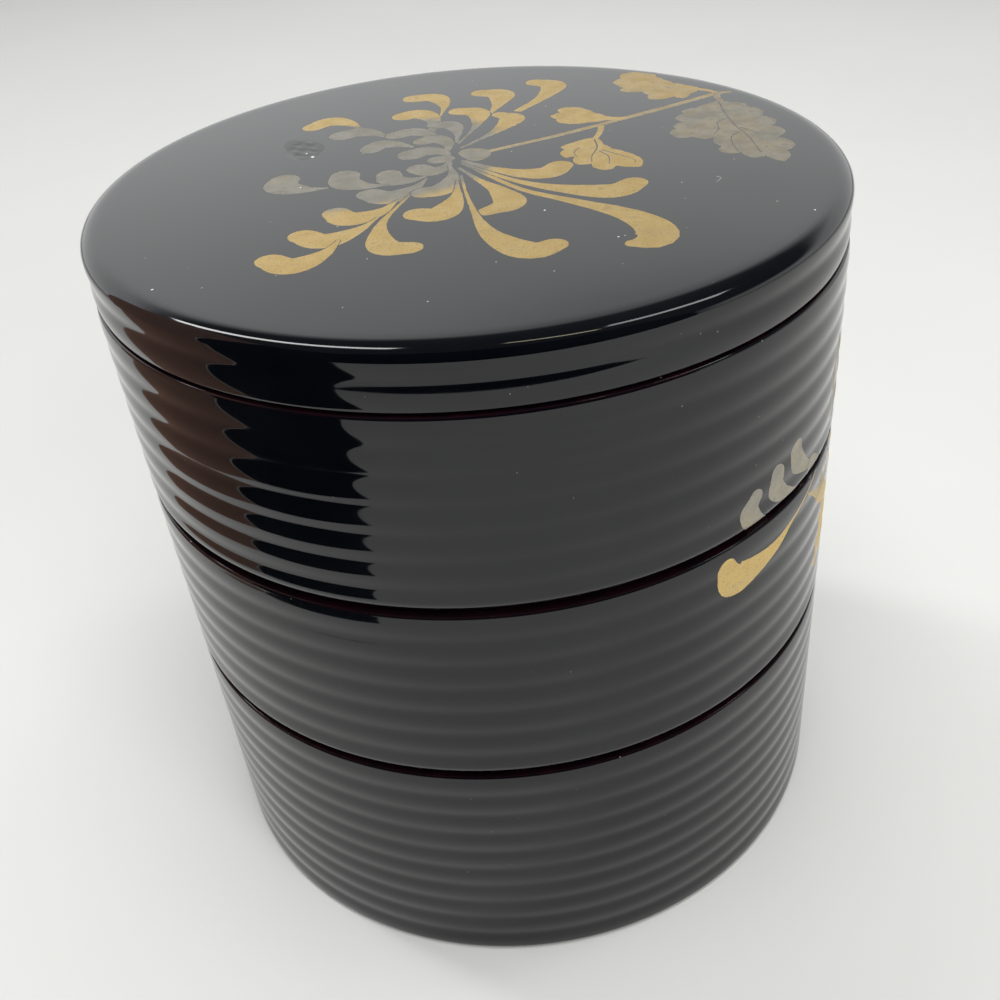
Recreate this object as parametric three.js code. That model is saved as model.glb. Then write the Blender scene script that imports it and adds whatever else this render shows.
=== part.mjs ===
// Round three-tier box with a lift-off lid, in lacquer with soft ring ribs around its walls.
// Millimetres, +Z up. The origin is the centre of the base, on the surface that the box stands on.
// Each tier is a cup turned about the Z axis. Its foot ring drops into the mouth of the tier below,
// and the lid's lip drops into the mouth of the upper tier, so that every piece lifts straight off.
import * as THREE from 'three';

// Overall sizes
const OUTER_DIAMETER = 165;
const LOWER_TIER_HEIGHT = 64.2;
const MIDDLE_TIER_HEIGHT = 46;
const UPPER_TIER_HEIGHT = 44.8;
const LID_HEIGHT = 12.5;

// Walls and floors
const WALL = 5;
const FLOOR = 3.5;
const LID_PLATE = 3.5;
const LID_SETBACK = 0.3;
const LID_CROWN = 0.6;
const FLOOR_FILLET = 3;

// Seats, where one piece stands on the next
const SEAT_GAP = 0.3;
const FIT_CLEARANCE = 0.4;
const FOOT_DROP = 4;
const FOOT_RING_WIDTH = 5;
const LIP_DROP = 4;
const LIP_THICKNESS = 3;
const BASE_RECESS = 1.5;
const BASE_RING_WIDTH = 8;

// Rounded edges
const FOOT_ROUND = 3.2;
const BASE_ROUND = 1.6;
const RIM_ROUND = 1.8;
const MOUTH_ROUND = 0.5;
const LID_EDGE_ROUND = 2.5;
const LID_HEM_ROUND = 0.8;

// The largest share of its wall, its height or its depth that a round may take
const RIM_SHARE = 0.5;
const FOOT_SHARE = 0.7;
const MOUTH_SHARE = 0.25;
const LID_EDGE_SHARE = 0.35;
const FILLET_SHARE = 0.5;

// Ring ribs: soft convex bands with a rounded groove between them
const RIB_PITCH = 6.4;
const RIB_DEPTH = 0.35;
const GROOVE_SOFTNESS = 0.25;
const RIB_STATIONS = [0.3, 0.7, 1];

// Fineness of the faceted surface
const SIDES = 40;
const ARC_STEPS = 2;
const MOUTH_STEPS = 1;
const CROWN_STEPS = 2;

// Radii that the pieces share
const OUTER_RADIUS = OUTER_DIAMETER / 2;
const MOUTH_RADIUS = OUTER_RADIUS - WALL;
const PLUG_RADIUS = MOUTH_RADIUS - FIT_CLEARANCE;
const LID_RADIUS = OUTER_RADIUS - LID_SETBACK;

// Rounds as they are cut, kept within what carries them
const rimRound = Math.min(RIM_ROUND, RIM_SHARE * WALL);
const footRound = Math.min(FOOT_ROUND, FOOT_SHARE * WALL);
const mouthRound = Math.min(MOUTH_ROUND, MOUTH_SHARE * WALL);
const lidEdgeRound = Math.min(LID_EDGE_ROUND, LID_EDGE_SHARE * LID_HEIGHT);

// Height of a rib above its groove, from 0 in the groove to 1 on the crest.
// share is the place across the rib, from 0 at its lower groove to 1 at its upper one.
function ribSwell(share) {
  const sine = Math.sin(Math.PI * share);
  const soft = Math.hypot(sine, GROOVE_SOFTNESS) - GROOVE_SOFTNESS;
  return soft / (Math.hypot(1, GROOVE_SOFTNESS) - GROOVE_SOFTNESS);
}

// How far a quarter-round edge draws the wall in, at a distance from the end of the wall.
function edgeInset(distance, round) {
  const inside = Math.max(0, round - distance);
  return round - Math.sqrt(round * round - inside * inside);
}

// The outer line of a ribbed wall from its lower edge to its upper one, both rounded.
function ribbedWall(radius, low, high, lowRound, highRound) {
  const ribs = Math.max(1, Math.round((high - low) / RIB_PITCH));
  const pitch = (high - low) / ribs;
  const heights = [];
  for (let step = 0; step <= ARC_STEPS; step += 1) {
    const rise = Math.sin((step / ARC_STEPS) * (Math.PI / 2));
    heights.push(high - highRound * (1 - rise));
    heights.push(low + lowRound * (1 - rise));
  }
  for (let rib = 0; rib < ribs; rib += 1) {
    for (const station of RIB_STATIONS) {
      const height = low + (rib + station) * pitch;
      const clearOfEdges = height > low + lowRound && height < high - highRound;
      if (clearOfEdges) {
        heights.push(height);
      }
    }
  }
  heights.sort((a, b) => a - b);
  return heights.map((height) => {
    const share = ((height - low) / pitch) % 1;
    const ribbed = radius - RIB_DEPTH * (1 - ribSwell(share));
    const inset = edgeInset(height - low, lowRound) + edgeInset(high - height, highRound);
    return new THREE.Vector2(ribbed - inset, height);
  });
}

// An arc about a centre, from one angle to another in degrees.
function arc(centreRadius, centreHeight, radius, fromAngle, toAngle, steps) {
  const points = [];
  for (let step = 0; step <= steps; step += 1) {
    const angle = THREE.MathUtils.degToRad(fromAngle + ((toAngle - fromAngle) * step) / steps);
    const across = centreRadius + radius * Math.cos(angle);
    const up = centreHeight + radius * Math.sin(angle);
    points.push(new THREE.Vector2(across, up));
  }
  return points;
}

// The inside of a cup, from the top of its wall down to the middle of its floor.
function cupInside(floorTop, rimTop) {
  const fillet = Math.min(FLOOR_FILLET, FILLET_SHARE * (rimTop - floorTop));
  return [
    ...arc(MOUTH_RADIUS + mouthRound, rimTop - mouthRound, mouthRound, 90, 180, MOUTH_STEPS),
    ...arc(MOUTH_RADIUS - fillet, floorTop + fillet, fillet, 0, -90, ARC_STEPS),
    new THREE.Vector2(0, floorTop),
  ];
}

// The lower tier stands on a flat ring under its wall, with a shallow recess inside the ring.
function lowerTierProfile() {
  const rimTop = LOWER_TIER_HEIGHT - SEAT_GAP;
  const recessRadius = OUTER_RADIUS - BASE_RING_WIDTH;
  return [
    new THREE.Vector2(0, BASE_RECESS),
    new THREE.Vector2(recessRadius, BASE_RECESS),
    new THREE.Vector2(recessRadius, 0),
    ...ribbedWall(OUTER_RADIUS, 0, rimTop, BASE_ROUND, rimRound),
    ...cupInside(BASE_RECESS + FLOOR, rimTop),
  ];
}

// A tier that stacks has a shoulder on the rim below and a foot ring inside that rim.
function stackingTierProfile(shoulder, height) {
  const rimTop = shoulder + height - SEAT_GAP;
  const footBottom = shoulder - FOOT_DROP;
  const footInside = PLUG_RADIUS - FOOT_RING_WIDTH;
  return [
    new THREE.Vector2(0, shoulder),
    new THREE.Vector2(footInside, shoulder),
    new THREE.Vector2(footInside, footBottom),
    new THREE.Vector2(PLUG_RADIUS, footBottom),
    new THREE.Vector2(PLUG_RADIUS, shoulder),
    ...ribbedWall(OUTER_RADIUS, shoulder, rimTop, footRound, rimRound),
    ...cupInside(shoulder + FLOOR, rimTop),
  ];
}

// The lid is a shallow dish turned over, with a lip inside its hem and a top that swells slightly.
function lidProfile(hem) {
  const edgeTop = hem + LID_HEIGHT;
  const lipInside = PLUG_RADIUS - LIP_THICKNESS;
  const lipBottom = hem - LIP_DROP;
  const ceiling = edgeTop - LID_PLATE;
  const flatRadius = LID_RADIUS - lidEdgeRound;
  const crown = [];
  for (let step = 1; step <= CROWN_STEPS; step += 1) {
    const share = 1 - step / CROWN_STEPS;
    crown.push(new THREE.Vector2(flatRadius * share, edgeTop + LID_CROWN * (1 - share * share)));
  }
  return [
    new THREE.Vector2(0, ceiling),
    new THREE.Vector2(lipInside, ceiling),
    new THREE.Vector2(lipInside, lipBottom),
    new THREE.Vector2(PLUG_RADIUS, lipBottom),
    new THREE.Vector2(PLUG_RADIUS, hem),
    ...ribbedWall(LID_RADIUS, hem, edgeTop, LID_HEM_ROUND, lidEdgeRound),
    ...crown,
  ];
}

// A profile in radius and height, turned once about the Z axis.
function turned(profile) {
  const geometry = new THREE.LatheGeometry(profile, SIDES);
  geometry.rotateX(Math.PI / 2);
  return geometry;
}

function blackLacquer() {
  return new THREE.MeshStandardMaterial({ color: 0x0b0d10, roughness: 0.12, metalness: 0 });
}

function piece(name, profile) {
  const mesh = new THREE.Mesh(turned(profile), blackLacquer());
  mesh.name = name;
  return mesh;
}

// Seams, counted up from the surface that the box stands on
const MIDDLE_SHOULDER = LOWER_TIER_HEIGHT;
const UPPER_SHOULDER = MIDDLE_SHOULDER + MIDDLE_TIER_HEIGHT;
const LID_HEM = UPPER_SHOULDER + UPPER_TIER_HEIGHT;

const box = new THREE.Group();
box.add(piece('lower_tier', lowerTierProfile()));
box.add(piece('middle_tier', stackingTierProfile(MIDDLE_SHOULDER, MIDDLE_TIER_HEIGHT)));
box.add(piece('upper_tier', stackingTierProfile(UPPER_SHOULDER, UPPER_TIER_HEIGHT)));
box.add(piece('lid', lidProfile(LID_HEM)));

export default box;
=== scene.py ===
# %% [markdown]
# A round lacquer box in three tiers, with a powder flower.
#
# The real box is turned wood, coated with many thin layers of black lacquer. Three tiers stack on
# each other and a flat lid closes the top. Soft ring ribs run around the walls, and a large flower
# in gold and silver powder lies flat on the lid, with a second one around the right side.
# The measured solids are loaded first. They fix where everything is, and the lesson then makes a
# finely turned piece for each of them.

# %% Load the measured solids
import math

import bmesh
import bpy
import numpy as np
from mathutils import Matrix, Vector
from mathutils.geometry import delaunay_2d_cdt


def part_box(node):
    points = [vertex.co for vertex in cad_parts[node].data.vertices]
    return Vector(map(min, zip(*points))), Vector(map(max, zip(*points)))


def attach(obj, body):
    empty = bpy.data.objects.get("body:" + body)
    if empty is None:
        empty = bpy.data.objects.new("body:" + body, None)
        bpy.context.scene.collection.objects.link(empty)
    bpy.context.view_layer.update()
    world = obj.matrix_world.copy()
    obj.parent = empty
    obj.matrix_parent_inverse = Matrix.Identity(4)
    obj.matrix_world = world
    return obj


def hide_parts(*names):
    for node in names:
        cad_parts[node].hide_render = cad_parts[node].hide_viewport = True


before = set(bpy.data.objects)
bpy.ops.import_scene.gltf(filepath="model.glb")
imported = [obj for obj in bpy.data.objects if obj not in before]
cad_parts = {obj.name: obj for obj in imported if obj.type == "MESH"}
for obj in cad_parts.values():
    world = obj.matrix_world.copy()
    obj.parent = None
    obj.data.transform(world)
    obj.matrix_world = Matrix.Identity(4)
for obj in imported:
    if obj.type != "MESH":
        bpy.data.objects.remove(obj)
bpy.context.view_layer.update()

MM = 0.001

# %% [markdown]
# The sizes of the box.
#
# A turner works from one drawing: the outside radius, the wall, the seats and the rounded edges.
# The seams come from the solids themselves, so that every turned piece stays where they are. The
# box's own sizes are written in millimetres and turned into metres once, by MM.

# %% Sizes of the box
OUTER_RADIUS = 82.5 * MM
WALL = 5 * MM
FLOOR = 3.5 * MM
LID_PLATE = 3.5 * MM
LID_SETBACK = 0.3 * MM
LID_CROWN = 0.6 * MM
FLOOR_FILLET = 3 * MM
SEAT_GAP = 0.3 * MM
FIT_CLEARANCE = 0.4 * MM
FOOT_DROP = 4 * MM
FOOT_RING_WIDTH = 5 * MM
LIP_DROP = 4 * MM
LIP_THICKNESS = 3 * MM
BASE_RECESS = 1.5 * MM
BASE_RING_WIDTH = 8 * MM
BASE_ROUND = 1.6 * MM
FOOT_ROUND = 3.2 * MM
UPPER_FOOT_ROUND = 3.6 * MM
RIM_ROUND = 0.55 * MM
MOUTH_ROUND = 0.5 * MM
LID_EDGE_ROUND = 2.4 * MM
LID_EDGE_REACH = 3.4 * MM
LID_HEM_ROUND = 0.8 * MM

MOUTH_RADIUS = OUTER_RADIUS - WALL
PLUG_RADIUS = MOUTH_RADIUS - FIT_CLEARANCE
LID_RADIUS = OUTER_RADIUS - LID_SETBACK
CROWN_RADIUS = LID_RADIUS - LID_EDGE_REACH

middle_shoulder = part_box("middle_tier")[0][2] + FOOT_DROP
upper_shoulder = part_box("upper_tier")[0][2] + FOOT_DROP
lid_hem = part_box("lid")[0][2] + LIP_DROP
lid_edge_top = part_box("lid")[1][2] - LID_CROWN
print("seams at", [round(z / MM, 1) for z in (middle_shoulder, upper_shoulder, lid_hem)], "mm")

# %% [markdown]
# The camera.
#
# The box was seen from a hand's height above the lid, looking down at about 37 degrees, with the
# picture a little tilted. The box stands right of the middle of its picture, which is what the
# small shift of the lens is for. Nothing else in the lesson depends on where the camera stands.

# %% Camera
CAMERA_PLACE = Vector((0, -0.24507, 0.25342))
CAMERA_PITCH = math.radians(36.711)
CAMERA_YAW = math.radians(3.459)
CAMERA_ROLL = math.radians(-3.937)
SENSOR_WIDTH = 36
FOCAL_LENGTH = 40.81
LENS_SHIFT = (-0.0606, 0.0178)
NEAREST_SEEN = 0.01


def look_matrix(place, pitch, yaw, roll):
    forward = Vector((
        math.sin(yaw) * math.cos(pitch),
        math.cos(yaw) * math.cos(pitch),
        -math.sin(pitch),
    ))
    level = Vector((math.cos(yaw), -math.sin(yaw), 0))
    above = level.cross(forward)
    right = math.cos(roll) * level + math.sin(roll) * above
    up = math.cos(roll) * above - math.sin(roll) * level
    turn = Matrix((right, up, -forward)).transposed().to_4x4()
    return Matrix.Translation(place) @ turn


camera_data = bpy.data.cameras.new("camera")
camera_data.sensor_fit = "HORIZONTAL"
camera_data.sensor_width = SENSOR_WIDTH
camera_data.lens = FOCAL_LENGTH
camera_data.shift_x, camera_data.shift_y = LENS_SHIFT
camera_data.clip_start = NEAREST_SEEN
camera = bpy.data.objects.new("camera", camera_data)
camera.matrix_world = look_matrix(CAMERA_PLACE, CAMERA_PITCH, CAMERA_YAW, CAMERA_ROLL)
bpy.context.collection.objects.link(camera)
bpy.context.scene.camera = camera
print("camera at", [round(value, 4) for value in camera.location])

# %% [markdown]
# Small tools for node trees.
#
# Both materials and Geometry Nodes are trees of nodes. A few helpers keep the trees readable: one
# adds a node with its settings, one does a step of arithmetic, and one gives a value or a wire to
# an input, whichever it is handed.

# %% Helpers for node trees


def add_node(tree, kind, **settings):
    node = tree.nodes.new(kind)
    for name, value in settings.items():
        setattr(node, name, value)
    return node


def feed(tree, socket, value):
    if isinstance(value, bpy.types.NodeSocket):
        tree.links.new(value, socket)
    else:
        socket.default_value = value


def calculate(tree, operation, *values):
    node = add_node(tree, "ShaderNodeMath", operation=operation)
    for socket, value in zip(node.inputs, values):
        feed(tree, socket, value)
    return node.outputs[0]


def parts_of(tree, vector):
    split = add_node(tree, "ShaderNodeSeparateXYZ")
    feed(tree, split.inputs[0], vector)
    return split.outputs["X"], split.outputs["Y"], split.outputs["Z"]


# %% [markdown]
# The rule for one rib.
#
# The lathe's tool leaves soft convex bands with a rounded groove between them. A sine makes such a
# band, but its groove comes to a point. Softness rounds the groove: it takes the place of the sine
# where that is small, and leaves the crest as it is.

# %% Rule for one rib


def rib_rule_group():
    tree = bpy.data.node_groups.new("rib_rule", "GeometryNodeTree")
    for name, direction in (("Share", "INPUT"), ("Softness", "INPUT"), ("Swell", "OUTPUT")):
        tree.interface.new_socket(name, in_out=direction, socket_type="NodeSocketFloat")
    source = add_node(tree, "NodeGroupInput")
    result = add_node(tree, "NodeGroupOutput")
    share, softness = source.outputs[0], source.outputs[1]

    def softened(height):
        height_squared = calculate(tree, "MULTIPLY", height, height)
        softness_squared = calculate(tree, "MULTIPLY", softness, softness)
        both = calculate(tree, "ADD", height_squared, softness_squared)
        return calculate(tree, "SUBTRACT", calculate(tree, "SQRT", both), softness)

    sine = calculate(tree, "SINE", calculate(tree, "MULTIPLY", share, math.pi))
    feed(tree, result.inputs[0], calculate(tree, "DIVIDE", softened(sine), softened(1.0)))
    return tree


rib_rule = rib_rule_group()
print("rib rule:", len(rib_rule.nodes), "nodes")

# %% [markdown]
# The turning tree.
#
# Lacquered boxes are turned on a lathe, so every piece is one profile carried around the axis. The
# tree takes a profile, a row of points in radius and height, and wraps a grid around the axis: each
# column of the grid is one copy of the profile. A Screw modifier could turn the profile too, but a
# tree can cut the ribs in the same pass, from named sizes. Each point also keeps its column, its
# row, whether it is inside and its share of painted maroon glint and of wear, because later steps
# ask for them.

# %% Inputs of the turning tree
MERGE_DISTANCE = 0.002 * MM
INSIDE_LIMIT = 0.6


def turning_inputs(tree):
    face = tree.interface
    face.new_socket("Profile", in_out="INPUT", socket_type="NodeSocketGeometry")
    face.new_socket("Sides", in_out="INPUT", socket_type="NodeSocketInt")
    for name in ("Rib Foot", "Rib Pitch", "Rib Depth", "Groove Softness"):
        face.new_socket(name, in_out="INPUT", socket_type="NodeSocketFloat")
    for name in ("Outside Finish", "Inside Finish"):
        face.new_socket(name, in_out="INPUT", socket_type="NodeSocketMaterial")
    face.new_socket("Turned", in_out="OUTPUT", socket_type="NodeSocketGeometry")
    source = add_node(tree, "NodeGroupInput")
    return {socket.name: socket for socket in source.outputs}


# %% Grid, and how it reads the profile


def wrapped_grid(tree, given):
    """A grid with a column for each side and a row for each point, and both numbers of a point."""
    size = add_node(tree, "GeometryNodeAttributeDomainSize", component="MESH")
    feed(tree, size.inputs["Geometry"], given["Profile"])
    rows = size.outputs["Point Count"]
    grid = add_node(tree, "GeometryNodeMeshGrid")
    feed(tree, grid.inputs["Vertices X"], calculate(tree, "ADD", given["Sides"], 1.0))
    feed(tree, grid.inputs["Vertices Y"], rows)
    index = add_node(tree, "GeometryNodeInputIndex").outputs[0]
    past_start = calculate(tree, "ADD", index, 0.5)
    side = calculate(tree, "FLOOR", calculate(tree, "DIVIDE", past_start, rows))
    row = calculate(tree, "SUBTRACT", index, calculate(tree, "MULTIPLY", side, rows))
    return grid.outputs["Mesh"], side, row


def named_value(tree, name):
    node = add_node(tree, "GeometryNodeInputNamedAttribute", data_type="FLOAT")
    node.inputs["Name"].default_value = name
    return node.outputs["Attribute"]


def profile_reader(tree, profile, row):
    def read(value, kind="FLOAT"):
        sample = add_node(tree, "GeometryNodeSampleIndex", data_type=kind, domain="POINT")
        feed(tree, sample.inputs["Geometry"], profile)
        feed(tree, sample.inputs["Value"], value)
        feed(tree, sample.inputs["Index"], row)
        return sample.outputs[0]
    return read


# %% Ribs, and the way around the axis


def ribbed_radius(tree, given, radius, height, ribbed):
    above_foot = calculate(tree, "SUBTRACT", height, given["Rib Foot"])
    rule = add_node(tree, "GeometryNodeGroup", node_tree=rib_rule)
    feed(tree, rule.inputs["Share"], calculate(tree, "DIVIDE", above_foot, given["Rib Pitch"]))
    feed(tree, rule.inputs["Softness"], given["Groove Softness"])
    hollow = calculate(tree, "SUBTRACT", 1.0, rule.outputs["Swell"])
    depth = calculate(tree, "MULTIPLY", hollow, given["Rib Depth"])
    return calculate(tree, "SUBTRACT", radius, calculate(tree, "MULTIPLY", depth, ribbed))


def around_axis(tree, given, side, radius, height):
    turn = calculate(tree, "MULTIPLY", side, 2 * math.pi)
    angle = calculate(tree, "DIVIDE", turn, given["Sides"])
    to_right = calculate(tree, "MULTIPLY", radius, calculate(tree, "SINE", angle))
    to_back = calculate(tree, "MULTIPLY", radius, calculate(tree, "COSINE", angle))
    spot = add_node(tree, "ShaderNodeCombineXYZ")
    feed(tree, spot.inputs["X"], to_right)
    feed(tree, spot.inputs["Y"], calculate(tree, "MULTIPLY", to_back, -1.0))
    feed(tree, spot.inputs["Z"], height)
    return spot.outputs[0]


# %% Steps that keep a value and give a finish


def with_value(tree, shape, name, value):
    node = add_node(tree, "GeometryNodeStoreNamedAttribute", data_type="FLOAT", domain="POINT")
    feed(tree, node.inputs["Geometry"], shape)
    node.inputs["Name"].default_value = name
    feed(tree, node.inputs["Value"], value)
    return node.outputs[0]


def with_finish(tree, shape, finish, chosen=True):
    node = add_node(tree, "GeometryNodeSetMaterial")
    feed(tree, node.inputs["Geometry"], shape)
    feed(tree, node.inputs["Selection"], chosen)
    feed(tree, node.inputs["Material"], finish)
    return node.outputs[0]


# %% Tree that turns a profile and cuts its ribs


def turning_tree():
    tree = bpy.data.node_groups.new("turn_and_rib", "GeometryNodeTree")
    given = turning_inputs(tree)
    shape, side, row = wrapped_grid(tree, given)
    read = profile_reader(tree, given["Profile"], row)
    place = add_node(tree, "GeometryNodeInputPosition").outputs[0]
    profile_radius, _, height = parts_of(tree, read(place, "FLOAT_VECTOR"))
    ribbed = read(named_value(tree, "ribbed"))
    radius = ribbed_radius(tree, given, profile_radius, height, ribbed)

    shape = with_value(tree, shape, "side", side)
    shape = with_value(tree, shape, "row", row)
    for name in ("inside", "rim_glint_and_wear"):
        shape = with_value(tree, shape, name, read(named_value(tree, name)))
    move = add_node(tree, "GeometryNodeSetPosition")
    feed(tree, move.inputs["Geometry"], shape)
    feed(tree, move.inputs["Position"], around_axis(tree, given, side, radius, height))
    close = add_node(tree, "GeometryNodeMergeByDistance")
    feed(tree, close.inputs["Geometry"], move.outputs[0])
    close.inputs["Distance"].default_value = MERGE_DISTANCE
    real = add_node(tree, "GeometryNodeRealizeInstances")
    feed(tree, real.inputs[0], close.outputs[0])

    outside = with_finish(tree, real.outputs[0], given["Outside Finish"])
    chosen = calculate(tree, "GREATER_THAN", named_value(tree, "inside"), INSIDE_LIMIT)
    both = with_finish(tree, outside, given["Inside Finish"], chosen)
    feed(tree, add_node(tree, "NodeGroupOutput").inputs[0], both)
    return tree


turn_and_rib = turning_tree()
print("turning tree:", len(turn_and_rib.nodes), "nodes")

# %% [markdown]
# Small tools for finishes.
#
# Every finish of the box is a Principled shader with patterns in its colour, its roughness and its
# bump. The patterns are noise on Object coordinates, which are metres on the piece itself. So the
# scale of a noise says how many of its clouds lie along a metre: 34 gives clouds of three
# centimetres, and 2600 gives grains smaller than half a millimetre.

# %% Helpers for finishes


def new_finish(name):
    finish = bpy.data.materials.new(name)
    finish.use_nodes = True
    tree = finish.node_tree
    here = add_node(tree, "ShaderNodeTexCoord").outputs["Object"]
    return finish, tree, tree.nodes["Principled BSDF"], here


def noise(tree, where, scale, detail=2.0, roughness=0.5):
    node = add_node(tree, "ShaderNodeTexNoise")
    feed(tree, node.inputs["Vector"], where)
    node.inputs["Scale"].default_value = scale
    node.inputs["Detail"].default_value = detail
    node.inputs["Roughness"].default_value = roughness
    return node.outputs["Fac"]


def ranged(tree, value, span, result):
    """Carries a value softly from one end of result to the other, while it crosses the span."""
    node = add_node(tree, "ShaderNodeMapRange", interpolation_type="SMOOTHSTEP")
    names = ("Value", "From Min", "From Max", "To Min", "To Max")
    for name, setting in zip(names, (value, *span, *result)):
        feed(tree, node.inputs[name], setting)
    return node.outputs["Result"]


def blend_colour(tree, share, first, second):
    node = add_node(tree, "ShaderNodeMix", data_type="RGBA")
    sockets = [socket for socket in node.inputs if socket.type == "RGBA"]
    feed(tree, node.inputs["Factor"], share)
    feed(tree, sockets[0], first)
    feed(tree, sockets[1], second)
    return [socket for socket in node.outputs if socket.type == "RGBA"][0]


def bump(tree, height, distance, under=None):
    node = add_node(tree, "ShaderNodeBump")
    node.inputs["Strength"].default_value = 1
    node.inputs["Distance"].default_value = distance
    feed(tree, node.inputs["Height"], height)
    if under is not None:
        feed(tree, node.inputs["Normal"], under)
    return node.outputs[0]


def attribute(tree, name):
    node = add_node(tree, "ShaderNodeAttribute", attribute_name=name)
    return node.outputs["Fac"]


# %% [markdown]
# The black lacquer.
#
# Polished black lacquer is a clear, hard gloss over a black that is never quite even. On the rims
# the black is painted dark maroon in patches: a painted reflection, the maroon glint that the seams
# catch. The gloss is plain Principled gloss with a very low roughness. Noise moves the black a
# little, wipes faint smears into the roughness and gives the surface the slow waviness of a
# hand-rubbed coat. Dust is a sprinkle of small pale dots, most of all on the upward faces.

# %% Black, its painted maroon rim glint and its dust
LACQUER_DEEP = (0.0014, 0.0018, 0.0032, 1)
LACQUER_GREY = (0.003, 0.0036, 0.0048, 1)
# Painted reflection: the dark maroon glint painted on the rims.
MAROON_RIM_GLINT = (0.024, 0.0035, 0.007, 1)
DUST = (0.7, 0.69, 0.65, 1)
DUST_CELLS = 300
DUST_ROUGHNESS = 1.2
SMEAR_STRETCH = (1, 3.2, 1)
SMEAR_TURN = (0, 0, 0.6)
LACQUER_IOR = 1.5


def lacquer_black(tree, here):
    cloud = ranged(tree, noise(tree, here, scale=34, detail=3), (0.35, 0.65), (0, 1))
    black = blend_colour(tree, cloud, LACQUER_DEEP, LACQUER_GREY)
    # Painted reflection: dark maroon painted into the black in patches where the rims catch a glint.
    maroon_patches = noise(tree, here, scale=210, detail=4, roughness=0.65)
    patchy = ranged(tree, maroon_patches, (0.35, 0.75), (0.3, 1))
    glint_and_wear_share = calculate(tree, "MULTIPLY", attribute(tree, "rim_glint_and_wear"), patchy)
    return blend_colour(tree, glint_and_wear_share, black, MAROON_RIM_GLINT)


def dust_specks(tree, here):
    """How much dust covers a place: none beside a speck, most on a speck that faces up."""
    cells = add_node(tree, "ShaderNodeTexVoronoi", feature="F1")
    feed(tree, cells.inputs["Vector"], here)
    cells.inputs["Scale"].default_value = DUST_CELLS
    pick = add_node(tree, "ShaderNodeSeparateColor")
    feed(tree, pick.inputs[0], cells.outputs["Color"])
    size = ranged(tree, pick.outputs[0], (0.3, 1.0), (0.0, 0.055))
    speck = calculate(tree, "LESS_THAN", cells.outputs["Distance"], size)
    _, _, facing_up = parts_of(tree, add_node(tree, "ShaderNodeNewGeometry").outputs["Normal"])
    upward = ranged(tree, facing_up, (0.2, 0.9), (0.15, 0.55))
    return calculate(tree, "MULTIPLY", speck, upward)


# %% Gloss and waviness of the lacquer


def wiped_gloss(tree, here):
    smear = add_node(tree, "ShaderNodeMapping")
    feed(tree, smear.inputs["Vector"], here)
    smear.inputs["Scale"].default_value = SMEAR_STRETCH
    smear.inputs["Rotation"].default_value = SMEAR_TURN
    wiped = noise(tree, smear.outputs[0], scale=46, detail=5, roughness=0.7)
    return ranged(tree, wiped, (0.35, 0.75), (0.045, 0.10))


def black_lacquer_finish():
    finish, tree, shader, here = new_finish("black_lacquer_gloss")
    dusty = dust_specks(tree, here)
    black = lacquer_black(tree, here)
    feed(tree, shader.inputs["Base Color"], blend_colour(tree, dusty, black, DUST))
    dull = calculate(tree, "MULTIPLY", dusty, DUST_ROUGHNESS)
    rough = calculate(tree, "MAXIMUM", wiped_gloss(tree, here), dull)
    feed(tree, shader.inputs["Roughness"], rough)
    wavy = bump(tree, noise(tree, here, scale=22, detail=1), 0.02 * MM)
    pitted = bump(tree, noise(tree, here, scale=700), 0.0005 * MM, under=wavy)
    feed(tree, shader.inputs["Normal"], pitted)
    shader.inputs["IOR"].default_value = LACQUER_IOR
    return finish


black_lacquer = black_lacquer_finish()
print(black_lacquer.name, len(black_lacquer.node_tree.nodes), "nodes")

# %% [markdown]
# The red lacquer inside.
#
# Boxes of this kind are often red within. The thread of maroon in the seams is the painted maroon
# reflection on the black rims. The inside finish is a deep red gloss that is a little softer than
# the outside, since nobody polishes it as long. It is only seen once the lid is off.

# %% Red inside lacquer
RED_DEEP = (0.11, 0.006, 0.006, 1)
RED_WARM = (0.19, 0.014, 0.01, 1)


def red_inside_finish():
    finish, tree, shader, here = new_finish("red_inside_lacquer")
    cloud = ranged(tree, noise(tree, here, scale=30, detail=4), (0.3, 0.7), (0, 1))
    red = blend_colour(tree, cloud, RED_DEEP, RED_WARM)
    patchy = ranged(tree, noise(tree, here, scale=230, detail=3), (0.45, 0.6), (0, 0.8))
    glint_and_wear_share = calculate(tree, "MULTIPLY", attribute(tree, "rim_glint_and_wear"), patchy)
    feed(tree, shader.inputs["Base Color"], blend_colour(tree, glint_and_wear_share, red, LACQUER_GREY))
    gloss = ranged(tree, noise(tree, here, scale=60, detail=5), (0.3, 0.7), (0.12, 0.22))
    feed(tree, shader.inputs["Roughness"], gloss)
    feed(tree, shader.inputs["Normal"], bump(tree, noise(tree, here, scale=40), 0.05 * MM))
    shader.inputs["IOR"].default_value = LACQUER_IOR
    return finish


red_inside = red_inside_finish()
print(red_inside.name, len(red_inside.node_tree.nodes), "nodes")

# %% [markdown]
# Gold and silver powder.
#
# The flower is drawn in wet lacquer and dusted with metal powder, which then sinks in and stays
# flat. So it is one finish with a slider: the attribute powder_tone is 0 for silver and 1 for gold,
# and it runs along each petal, as the two powders were sifted into each other. The powder is a
# rough metal with fine grains in its colour and its bump. Here and there the black shows through.

# %% Gold and silver powder
SILVER_POWDER = (0.37, 0.35, 0.295, 1)
GOLD_POWDER = (0.71, 0.515, 0.205, 1)
TONE_DRIFT = 0.12


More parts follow.
